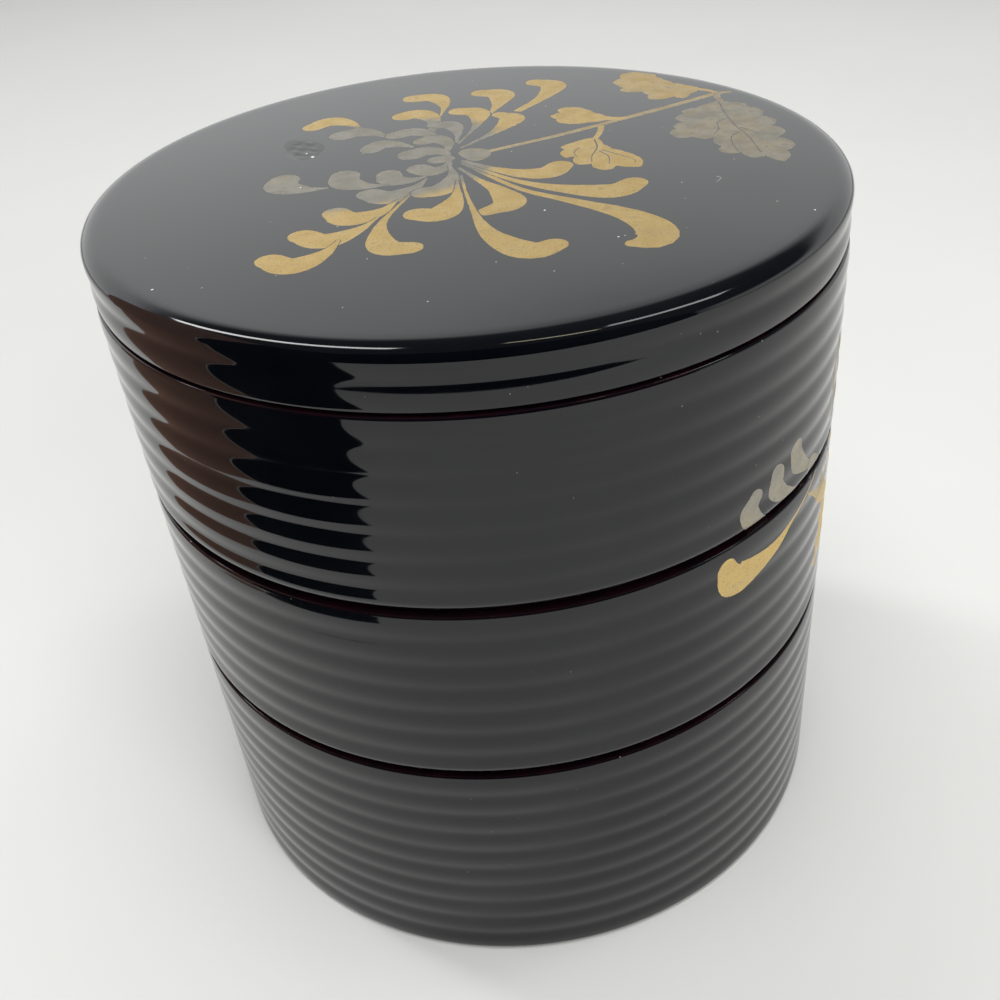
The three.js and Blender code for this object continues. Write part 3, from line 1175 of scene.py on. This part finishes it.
# %% [markdown]
# Joining a drawing to its shell.
#
# The turned shell and the laid drawing are two open meshes that share the points of their border.
# They are joined, the doubled points are merged, and the result has to be closed: a count of the
# open edges says so. A signed volume tells whether the faces point outwards: it is positive when
# they do.

# %% Join, close and finish a piece
SHARP_ANGLE = math.radians(35)


def open_edges(mesh):
    count = np.zeros(len(mesh.edges), int)
    for loop in mesh.loops:
        count[loop.edge_index] += 1
    return int(np.sum(count != 2))


def signed_volume(mesh):
    mesh.calc_loop_triangles()
    places = read_places(mesh)
    corners = np.array([triangle.vertices[:] for triangle in mesh.loop_triangles])
    a, b, c = (places[corners[:, k]] for k in range(3))
    return float(np.einsum("ij,ij->i", a, np.cross(b, c)).sum() / 6)


def join_meshes(name, meshes):
    objects = []
    for mesh in meshes:
        part = bpy.data.objects.new(name + "_part", mesh)
        bpy.context.collection.objects.link(part)
        objects.append(part)
    if len(objects) > 1:
        with bpy.context.temp_override(active_object=objects[0], selected_editable_objects=objects):
            bpy.ops.object.join()
    whole = objects[0]
    whole.name = name
    whole.data.name = name
    return whole


def close_piece(piece):
    body = bmesh.new()
    body.from_mesh(piece.data)
    bmesh.ops.remove_doubles(body, verts=body.verts, dist=MERGE_DISTANCE)
    body.to_mesh(piece.data)
    body.free()
    for polygon in piece.data.polygons:
        polygon.use_smooth = True
    piece.data.set_sharp_from_angle(angle=SHARP_ANGLE)
    volume = signed_volume(piece.data)
    if volume < 0:
        piece.data.flip_normals()
    print(piece.name, len(piece.data.polygons), "faces, open edges:", open_edges(piece.data))
    print("volume in cubic centimetres:", round(volume / MM ** 3 / 1000, 1))


def settle(piece, node):
    mesh = piece.data
    used = sorted({polygon.material_index for polygon in mesh.polygons})
    chosen = [used.index(polygon.material_index) for polygon in mesh.polygons]
    give_finishes(mesh, [mesh.materials[k] for k in used], chosen)
    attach(piece, "root")
    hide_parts(node)


# %% [markdown]
# The lower tier.
#
# The lowest tray is the tallest and has a flat standing ring. Nothing is painted on it, so it is
# turned in one go: rib, rim, red inside and all.

# %% Lower tier
lower_rim = middle_shoulder - SEAT_GAP
lower_shell = turn_piece("lower_tier_turned", lower_tier_rows(), 0.0, lower_rim)
lower_piece = join_meshes("lower_tier_turned", [lower_shell])
close_piece(lower_piece)
settle(lower_piece, "lower_tier")

# %% [markdown]
# The flower on the side.
#
# The second flower runs across the seam between the upper two tiers, on the right side of the box.
# Its silver petals curl on the upper tier and its gold ones sweep out on the middle tier. It is
# drawn on the unrolled wall: x is the way around the box from the front, and y the height. Each
# tier gets the same drawing and keeps what lies on it, as one stencil would be laid over both.

# %% Petals on the side
SIDE_PETALS = [
    ([(90, 118), (91.5, 125), (93, 131), (97, 133.5)], 5.0, 0.8, 4.4),
    ([(93, 117), (97.5, 124), (101, 130.5), (106, 131)], 5.2, 0.8, 4.6),
    ([(96, 116), (103.5, 120.5), (109.6, 126.6), (114.6, 126)], 5.4, 0.9, 4.8),
    ([(97, 113.5), (107, 114), (117, 117.4), (120.4, 113.4)], 5.4, 0.9, 4.8),
    ([(82, 113), (74.5, 115.8), (69.3, 119.8), (68.7, 123)], 5.4, 0.8, 4.8),
    ([(72, 111.8), (64.5, 114.6), (61, 117.6), (61.3, 120.8)], 5.2, 0.7, 4.8),
    ([(63, 110), (55.5, 112.2), (52.3, 116), (53.9, 118.9)], 5.8, 0.6, 4.4),
    ([(95, 110), (107, 105), (117, 98.4), (121.6, 101.6)], 6.0, 0.9, 5.0),
    ([(93, 108.6), (104, 98), (110.6, 88), (115.6, 90.6)], 6.8, 0.9, 5.4),
    ([(91, 108), (97.6, 96), (100, 83.6), (104.8, 82.4)], 6.8, 0.9, 5.4),
    ([(86, 106), (93, 97), (95, 86), (91, 79)], 9.0, 2.5, 6.0),
    ([(77, 106.5), (82, 103.5), (90, 98.5), (96, 96)], 5.5, 0.8, 4.8),
    ([(84, 110.2), (76, 107), (62, 101.5), (48.2, 101), (46.2, 105)], 8.6, 0.5, 5.2),
    ([(84, 112), (81, 113.4), (77.6, 114.4), (76.4, 112.4)], 3.4, 0.8, 3.2),
]
SIDE_STEM = ([(101, 120), (112, 121), (124, 124), (136, 130)], 0.9, 1.3)
SIDE_STEM_TONE = 0.6
SIDE_CUP = [
    (96, 115.5), (99, 116), (101.6, 118), (102, 120.6), (100, 122.8), (97, 123.4), (94, 122.4),
    (92.4, 120), (93.4, 117.2),
]
CUP_TONE = 0.05
print(len(SIDE_PETALS), "petals on the side")

# %% Tone of the side flower, and what a tier keeps of it
SEAM_HEIGHT = upper_shoulder / MM
SILVER_TONE = 0.05
SIDE_HEART = (88, 111)
GOLD_FROM_HEART = (4, 16)


def side_tone(point):
    """Silver above the seam. Below it the petals turn from silver at the heart to gold."""
    from_heart = math.hypot(point[0] - SIDE_HEART[0], point[1] - SIDE_HEART[1])
    return smooth_step(from_heart, *GOLD_FROM_HEART) if point[1] < SEAM_HEIGHT else SILVER_TONE


def clip_height(outline, level, keep_above):
    kept = []
    for here, after in zip(outline, np.roll(outline, -1, axis=0)):
        here_in = (here[1] >= level) == keep_above
        after_in = (after[1] >= level) == keep_above
        if here_in:
            kept.append(here)
        if here_in != after_in:
            share = (level - here[1]) / (after[1] - here[1])
            kept.append(here + (after - here) * share)
    return np.array(kept)


def band_trim(low, high):
    def trim(outline):
        above = clip_height(outline, low, True)
        return clip_height(above, high, False) if len(above) > 2 else above
    return trim


# %% [markdown]
# The window in the ribbed wall.
#
# In each of the two tiers, the faces behind the drawing are taken out of the turned shell, and the
# drawing fills the hole. The radius at each height is read off the turned shell itself, so the
# fill follows its ribs exactly.

# %% Cut a window into a tier
SIDE_ANGLE = 2 * math.pi / SIDES
WINDOW_DEGREES = (26, 102)
FIRST_SIDE, LAST_SIDE = (round(math.radians(turn) / SIDE_ANGLE) for turn in WINDOW_DEGREES)


def wall_rows(profile):
    """The numbers of the rows in which ribs are cut, but for the first and the last."""
    return [number for number, row in enumerate(profile) if row[2] > 0.5][1:-1]


def one_column(shell, numbers):
    """Heights and radii of the wall, from the shell's column of points at the window's start."""
    at_start = np.abs(read_values(shell, "side") - FIRST_SIDE) < 0.5
    row = read_values(shell, "row")
    points = [int(np.argmax(at_start & (np.abs(row - number) < 0.5))) for number in numbers]
    places = read_places(shell)[points]
    return places[:, 2], np.hypot(places[:, 0], places[:, 1])


def cut_window(shell, numbers):
    side, row = read_values(shell, "side"), read_values(shell, "row")
    within = (side > FIRST_SIDE - 0.5) & (side < LAST_SIDE + 0.5)
    within &= (row > numbers[0] - 0.5) & (row < numbers[-1] + 0.5)
    body = bmesh.new()
    body.from_mesh(shell)
    doomed = [face for face in body.faces if all(within[vert.index] for vert in face.verts)]
    bmesh.ops.delete(body, geom=doomed, context="FACES")
    body.to_mesh(shell)
    body.free()


# %% Draw the side flower on the unrolled wall
MARGIN = 0.25
SIDE_BULGE = 0.12


def side_drawing(heights):
    around = [k * SIDE_ANGLE * OUTER_RADIUS / MM for k in range(FIRST_SIDE, LAST_SIDE + 1)]
    up = list(heights / MM)
    border = [(x, up[0]) for x in around[:-1]] + [(around[-1], z) for z in up[:-1]]
    border += [(x, up[-1]) for x in around[:0:-1]] + [(around[0], z) for z in up[:0:-1]]
    drawing = Drawing(border, [(x, z) for x in around[1:-1] for z in up[1:-1]])
    trim = band_trim(up[0] + MARGIN, up[-1] - MARGIN)
    stem = trim(stroke_outline(*SIDE_STEM))
    if len(stem) > 2:
        drawing.add(stem, POWDER, even_tone(SIDE_STEM_TONE))
    for points, belly, tail, head in SIDE_PETALS:
        drawing.petal(points, belly, tail, head, side_tone, trim)
    cup = trim(toothed_outline(SIDE_CUP, SIDE_BULGE))
    if len(cup) > 2:
        drawing.add(cup, POWDER, even_tone(CUP_TONE))
    return drawing


# %% [markdown]
# The slope of the wall.
#
# The drawing makes long thin triangles, and gloss shows every one of them. So each corner on the
# wall gets as its normal the true slope of the ribs at its height, whatever its triangle does.

# %% Give the wall its true normals
ON_WALL = 0.02 * MM


def slope_normals(mesh, heights, radii):
    slopes = np.gradient(radii, heights)
    normals = np.zeros(len(mesh.loops) * 3)
    mesh.corner_normals.foreach_get("vector", normals)
    normals = normals.reshape(-1, 3)
    corners = np.zeros(len(mesh.loops), int)
    mesh.loops.foreach_get("vertex_index", corners)
    x, y, z = read_places(mesh)[corners].T
    on_wall = np.abs(np.hypot(x, y) - np.interp(z, heights, radii)) < ON_WALL
    on_wall &= (z > heights[1]) & (z < heights[-2])
    angles = np.arctan2(x, -y)
    true = np.stack([np.sin(angles), -np.cos(angles), -np.interp(z, heights, slopes)], 1)
    true /= np.linalg.norm(true, axis=1)[:, None]
    normals[on_wall] = true[on_wall]
    mesh.normals_split_custom_set([tuple(normal) for normal in normals])


# %% Middle and upper tiers


def decorated_tier(name, node, shoulder, seat_above, foot_round):
    rim_top = seat_above - SEAT_GAP
    profile = stacking_tier_rows(shoulder, rim_top, foot_round)
    shell = turn_piece(name, profile, shoulder, rim_top)
    numbers = wall_rows(profile)
    heights, radii = one_column(shell, numbers)
    cut_window(shell, numbers)

    def lift(point):
        angle = point[0] * MM / OUTER_RADIUS
        radius = np.interp(point[1] * MM, heights, radii)
        return (radius * math.sin(angle), -radius * math.cos(angle), point[1] * MM)

    fill = drawing_mesh(name + "_fill", side_drawing(heights), lift)
    piece = join_meshes(name, [shell, fill])
    close_piece(piece)
    slope_normals(piece.data, heights, radii)
    settle(piece, node)


decorated_tier("middle_tier_turned", "middle_tier", middle_shoulder, upper_shoulder, FOOT_ROUND)
decorated_tier("upper_tier_turned", "upper_tier", upper_shoulder, lid_hem, UPPER_FOOT_ROUND)

# %% [markdown]
# The lid.
#
# The lid is a flat plate with a slight crown, two ribs on its side and a lip that drops into the
# upper tier. Its edge isn't a plain quarter round: polishing has rolled the top over softly, and
# then the edge turns down more sharply. That is why the pale top darkens just before the bright
# line. The shell is turned with an opening in the top, and the drawing fills it from edge to edge.

# %% Profile of the lid, and the height of its top
DISC_RADIUS = 78.0
ROLL_START = 76 * MM
ROLL_DROP = 0.05 * MM


def crown_height(radius):
    rolled = max(0.0, (radius - ROLL_START) / (CROWN_RADIUS - ROLL_START)) ** 2
    swell = (LID_CROWN - ROLL_DROP) * (1 - (radius / CROWN_RADIUS) ** 2)
    return lid_edge_top + swell + ROLL_DROP * (1 - rolled)


def lid_rows():
    lip_inside = PLUG_RADIUS - LIP_THICKNESS
    lip_bottom = lid_hem - LIP_DROP
    round_bottom = lip_bottom + MOUTH_ROUND
    ceiling = lid_edge_top - LID_PLATE
    under = ring_rows(0, lip_inside, ceiling, count=5, inside=1.0)
    lip = rows([(lip_inside, round_bottom)], inside=1.0)
    lip += rows(arc(lip_inside + MOUTH_ROUND, round_bottom, MOUTH_ROUND, 180, 270, MOUTH_STEPS)[1:])
    lip += rows([(PLUG_RADIUS, lip_bottom), (PLUG_RADIUS, lid_hem)])
    wall = ribbed_wall(LID_RADIUS, lid_hem, lid_edge_top, LID_HEM_ROUND, LID_EDGE_ROUND,
                       rim_glint=0.0, reach=LID_EDGE_REACH)
    return under + lip + wall + rows([(DISC_RADIUS * MM, crown_height(DISC_RADIUS * MM))])


print("lid:", len(lid_rows()), "rows, middle at", round(crown_height(0) / MM, 2), "mm")

# %% [markdown]
# The knock in the top.
#
# The knock pressed a shallow dent into the plate, with an uneven bed. Three crossing waves make
# the bed uneven, and a soft rim lets it run out into the gloss.

# %% Dent in the lid
CHIP_DEPTH = 0.1 * MM
CHIP_MIDDLE = (-37.6, 21.3)
CHIP_HALF = (4.4, 7.4)
CHIP_RIM = (0.5, 1.0)
BED = 0.5
BED_WAVES = ((0.2, 0.9, 1.7), (0.2, 1.6, -0.7), (0.1, 2.9, 2.1))


def chip_fall(x, y):
    """How far the knock presses the plate down, in metres."""
    reach = math.hypot((x - CHIP_MIDDLE[0]) / CHIP_HALF[0], (y - CHIP_MIDDLE[1]) / CHIP_HALF[1])
    bed = BED
    for height, along_x, along_y in BED_WAVES:
        bed += height * math.sin(along_x * x + along_y * y)
    return CHIP_DEPTH * bed * (1 - smooth_step(reach, *CHIP_RIM))


def top_height(x, y):
    return crown_height(math.hypot(x, y) * MM) - chip_fall(x, y)


def lid_lift(point):
    return (point[0] * MM, point[1] * MM, top_height(point[0], point[1]))


# %% Net of points under the drawing
NET_RADIUS = 74.6
NET_SPACING = 2.6
CROWN_RINGS = (75.6, 76.4, 77.2)
CHIP_SPACING = 0.8
LINE_SHARE = 0.866


def triangular_net(radius, spacing):
    net = []
    lines = int(radius / (spacing * LINE_SHARE)) + 1
    for line in range(-lines, lines + 1):
        y = line * spacing * LINE_SHARE
        start = 0.5 * spacing * (line % 2)
        for step in range(-lines - 2, lines + 3):
            x = start + step * spacing
            if math.hypot(x, y) < radius:
                net.append((x, y))
    return net


def ring_points(radius):
    angles = np.arange(SIDES) * 2 * math.pi / SIDES
    return [(radius * math.sin(angle), -radius * math.cos(angle)) for angle in angles]


def lid_net():
    net = triangular_net(NET_RADIUS, NET_SPACING)
    for radius in CROWN_RINGS:
        net += ring_points(radius)
    for x, y in triangular_net(CHIP_HALF[1], CHIP_SPACING):
        net.append((CHIP_MIDDLE[0] + x, CHIP_MIDDLE[1] + y))
    return net


print(len(lid_net()), "points in the net")

# %% Draw the flower, the knock and the crumbs on the lid
LEAF_BULGE = 0.08
LID_CUP_BULGE = 0.06
CHIP_BULGE = 0.1
SPLINTER_WIDTH = 0.7
CRUMB_WIDTH = 0.6
SPOT_STEP = 45


def round_spot(place, width, height):
    angles = np.radians(np.arange(0, 360, SPOT_STEP))
    return [(place[0] + width * math.cos(a), place[1] + height * math.sin(a)) for a in angles]


def lid_drawing():
    drawing = Drawing(ring_points(DISC_RADIUS), lid_net(), carried_forward)
    for *stroke, tone in LID_STROKES:
        drawing.add(sprinkled(stroke_outline(*stroke)), POWDER, even_tone(tone))
    for notches, tone in LID_LEAVES:
        drawing.add(sprinkled(toothed_outline(notches, LEAF_BULGE)), POWDER, even_tone(tone))
    for vein in LID_VEINS:
        drawing.add(stroke_outline(*vein), GROUND)
    for points, belly, tail, head in LID_PETALS:
        drawing.petal(points, belly, tail, head, lid_tone)
    drawing.add(stroke_outline(*HEART_STROKE), POWDER, even_tone(0.0))
    drawing.add(toothed_outline(FLOWER_CUP, LID_CUP_BULGE), POWDER, even_tone(CUP_TONE))
    drawing.add(toothed_outline(CHIP_EDGE, CHIP_BULGE), CHIP)
    drawing.add(stroke_outline(SCRATCH, SCRATCH_WIDTH, SCRATCH_WIDTH, SCRATCH_STEPS), SPLINTER)
    for place, size in SPLINTERS:
        drawing.add(round_spot(place, SPLINTER_WIDTH * size, size), SPLINTER)
    for place, size in CRUMBS:
        drawing.add(round_spot(place, CRUMB_WIDTH * size, CRUMB_WIDTH * size), SPLINTER)
    return drawing


# %% [markdown]
# The gloss of the top.
#
# The top has the same trouble with thin triangles as the walls. Its normals are worked out from
# its height instead: a small step to each side says how steep the top is there.

# %% Lid
NORMAL_STEP = 0.05
TOP_BELOW_EDGE = 1.2 * CHIP_DEPTH
TOP_PAST_DISC = 0.1


def top_normal(x, y):
    run = 2 * NORMAL_STEP * MM
    along_x = (top_height(x + NORMAL_STEP, y) - top_height(x - NORMAL_STEP, y)) / run
    along_y = (top_height(x, y + NORMAL_STEP) - top_height(x, y - NORMAL_STEP)) / run
    return Vector((-along_x, -along_y, 1)).normalized()


def set_top_normals(mesh):
    normals = [loop.vector.copy() for loop in mesh.corner_normals]
    for polygon in mesh.polygons:
        if polygon.center.z < lid_edge_top - TOP_BELOW_EDGE:
            continue
        for corner in polygon.loop_indices:
            place = mesh.vertices[mesh.loops[corner].vertex_index].co / MM
            if math.hypot(place.x, place.y) < DISC_RADIUS + TOP_PAST_DISC:
                normals[corner] = top_normal(place.x, place.y)
    mesh.normals_split_custom_set(normals)


lid_shell = turn_piece("lid_turned", lid_rows(), lid_hem, lid_edge_top,
                       LID_RIB_DEPTH, LID_GROOVE_SOFTNESS)
lid_disc = drawing_mesh("lid_disc", lid_drawing(), lid_lift)
lid_piece = join_meshes("lid_turned", [lid_shell, lid_disc])
close_piece(lid_piece)
set_top_normals(lid_piece.data)
settle(lid_piece, "lid")

# %% [markdown]
# The table.
#
# The box stands on a white sheet. A plain pale sheet of paper or cloth has no gloss of its own, so
# the shader's mirror part is turned off, and only a slow cloud of cream and a fine tooth are left.

# %% Table
SHEET_LIGHT = (0.80, 0.80, 0.785, 1)
SHEET_WARM = (0.755, 0.755, 0.735, 1)
SHEET_HALF = 2.5
SHEET_DROP = 0.1 * MM


def sheet_finish():
    finish, tree, shader, here = new_finish("white_sheet")
    cloud = noise(tree, here, scale=7, detail=3)
    feed(tree, shader.inputs["Base Color"], blend_colour(tree, cloud, SHEET_WARM, SHEET_LIGHT))
    rough = ranged(tree, noise(tree, here, scale=60), (0.3, 0.7), (0.62, 0.75))
    feed(tree, shader.inputs["Roughness"], rough)
    feed(tree, shader.inputs["Normal"], bump(tree, noise(tree, here, scale=900, detail=3), 0.02 * MM))
    shader.inputs["Specular IOR Level"].default_value = 0
    return finish


def place_sheet(name, corners, finish, only_in_gloss=False):
    mesh = bpy.data.meshes.new(name)
    mesh.from_pydata(corners, [], [(0, 1, 2, 3)])
    mesh.materials.append(finish)
    sheet = bpy.data.objects.new(name, mesh)
    bpy.context.collection.objects.link(sheet)
    sheet.visible_camera = not only_in_gloss
    sheet.visible_diffuse = not only_in_gloss
    sheet.visible_shadow = not only_in_gloss


around_table = ((-1, -1), (1, -1), (1, 1), (-1, 1))
table_corners = [(x * SHEET_HALF, y * SHEET_HALF, -SHEET_DROP) for x, y in around_table]
place_sheet("white_sheet", table_corners, sheet_finish())
print("sheet:", 2 * SHEET_HALF, "m across")

# %% [markdown]
# The room.
#
# Gloss black is a mirror, so what it shows is the light around it. The lid mirrors pale walls low
# down behind the box, which end sooner on the right than on the left. The walls of the box mirror
# the table. Straight into the camera the room is one even pale tone.

# %% Room light
WALL_LIGHT = 1.0
SKY_LIGHT = 0.05
FRONT_LIGHT = 0.03
BACKDROP_LIGHT = 0.78
LEFT_WALL_GAIN = 1.09
RIGHT_WALL_DROP = 0.09
WALL_TOPS = (0.26, 0.51)
WALL_TOP_FADE = (-0.03, 0.17)
ROOM_WHITE = (0.985, 0.995, 1.0, 1)


def room_light():
    world = bpy.data.worlds.new("room")
    world.use_nodes = True
    tree = world.node_tree
    shine = tree.nodes["Background"]
    ray = add_node(tree, "ShaderNodeTexCoord").outputs["Generated"]
    to_right, to_back, up = parts_of(tree, ray)
    lower = ranged(tree, to_right, (-0.2, 0.25), (0.0, RIGHT_WALL_DROP))
    wall_top = calculate(tree, "SUBTRACT", ranged(tree, to_back, (0.1, 0.6), WALL_TOPS), lower)
    above_wall = calculate(tree, "SUBTRACT", up, wall_top)
    fading = ranged(tree, above_wall, WALL_TOP_FADE, (WALL_LIGHT, SKY_LIGHT))
    brighter_left = ranged(tree, to_right, (-0.3, 0.1), (LEFT_WALL_GAIN, 1.0))
    walls = calculate(tree, "MULTIPLY", brighter_left, fading)
    behind = ranged(tree, to_back, (-0.62, -0.35), (0.0, 1.0))
    seen = calculate(tree, "ADD", FRONT_LIGHT, calculate(tree, "MULTIPLY", walls, behind))
    straight = add_node(tree, "ShaderNodeLightPath").outputs["Is Camera Ray"]
    backdrop = calculate(tree, "MULTIPLY", straight, BACKDROP_LIGHT)
    rest = calculate(tree, "MULTIPLY", calculate(tree, "SUBTRACT", 1.0, straight), seen)
    feed(tree, shine.inputs["Strength"], calculate(tree, "ADD", backdrop, rest))
    shine.inputs["Color"].default_value = ROOM_WHITE
    bpy.context.scene.world = world


room_light()
print("room:", len(bpy.context.scene.world.node_tree.nodes), "nodes")

# %% [markdown]
# Cloths in the gloss.
#
# A wide dark cloth stands 60 cm in front of the box, where the table that the walls mirror comes
# to its end, and gives the ribs their dark bands. A navy and a brown cloth hang close on the left,
# 5 cm clear of the table, because the wall of the box shows a navy and a brown patch there. All
# three show only in the gloss.

# %% Cloths
FLAG_NAVY = (0.002, 0.0024, 0.006, 1)
FLAG_BROWN = (0.62, 0.36, 0.27, 1)
WEAVE_SHADE = 0.7
CLOTH_ROUGHNESS = 0.9


def cloth_finish(name, colour):
    finish, tree, shader, here = new_finish(name)
    shaded = (*(WEAVE_SHADE * value for value in colour[:3]), 1)
    weave = noise(tree, here, scale=300)
    feed(tree, shader.inputs["Base Color"], blend_colour(tree, weave, shaded, colour))
    shader.inputs["Roughness"].default_value = CLOTH_ROUGHNESS
    shader.inputs["Specular IOR Level"].default_value = 0
    return finish


def cloth_flag(name, colour, start, end, low, high):
    corners = [(*start, low), (*end, low), (*end, high), (*start, high)]
    place_sheet(name, corners, cloth_finish(name + "_cloth", colour), only_in_gloss=True)
    print(name, "from", low, "to", high, "m")


cloth_flag("front_flag", FLAG_NAVY, (-0.75, -0.58), (0.95, -0.62), low=0.002, high=1.6)
cloth_flag("left_flag", FLAG_NAVY, (-0.152, -0.079), (-0.090, -0.147), low=0.050, high=0.3)
cloth_flag("brown_flag", FLAG_BROWN, (-0.170, 0.015), (-0.152, -0.078), low=0.050, high=0.3)

# %% [markdown]
# The lights.
#
# Three wide soft boxes, overhead, behind and in front, light the table and the powder and aren't
# seen in the gloss. Three narrow strips are: they hang high on each side, and draw the bright lines
# on the edge of the lid.

# %% Lights
LID_MIDDLE = (0, 0, 0.16)
WHITE_LIGHT = (1, 1, 1)
WARM_LIGHT = (1.0, 0.93, 0.7)


def soft_box(name, place, target, size, watts, in_gloss=True, colour=WHITE_LIGHT):
    light = bpy.data.lights.new(name, "AREA")
    light.shape = "RECTANGLE"
    light.size, light.size_y = size
    light.energy = watts
    light.color = colour
    box = bpy.data.objects.new(name, light)
    aim = (Vector(target) - Vector(place)).to_track_quat("-Z", "Y")
    box.matrix_world = Matrix.Translation(place) @ aim.to_matrix().to_4x4()
    bpy.context.collection.objects.link(box)
    box.visible_glossy = in_gloss
    print(name, watts, "W")


soft_box("overhead_light", (0.1, -0.6, 2.1), (0.02, -0.05, 0), (1.7, 1.7), watts=29.5, in_gloss=False)
soft_box("back_light", (0, 1.1, 1.3), (0, 0.5, 0), (1.0, 1.0), watts=3.2, in_gloss=False)
soft_box("front_light", (0.55, -1.1, 0.75), (0.05, 0, 0.08), (0.8, 0.8), watts=7, in_gloss=False)
soft_box("left_strip", (-0.65, 0.40, 1.34), LID_MIDDLE, (0.15, 0.9), watts=4.6)
soft_box("right_strip", (0.69, 0.12, 1.38), LID_MIDDLE, (0.16, 0.55), watts=1.5)
soft_box("warm_strip", (0.26, -0.07, 1.53), LID_MIDDLE, (0.07, 0.4), watts=0.6, colour=WARM_LIGHT)
bpy.context.scene.view_settings.view_transform = "Standard"
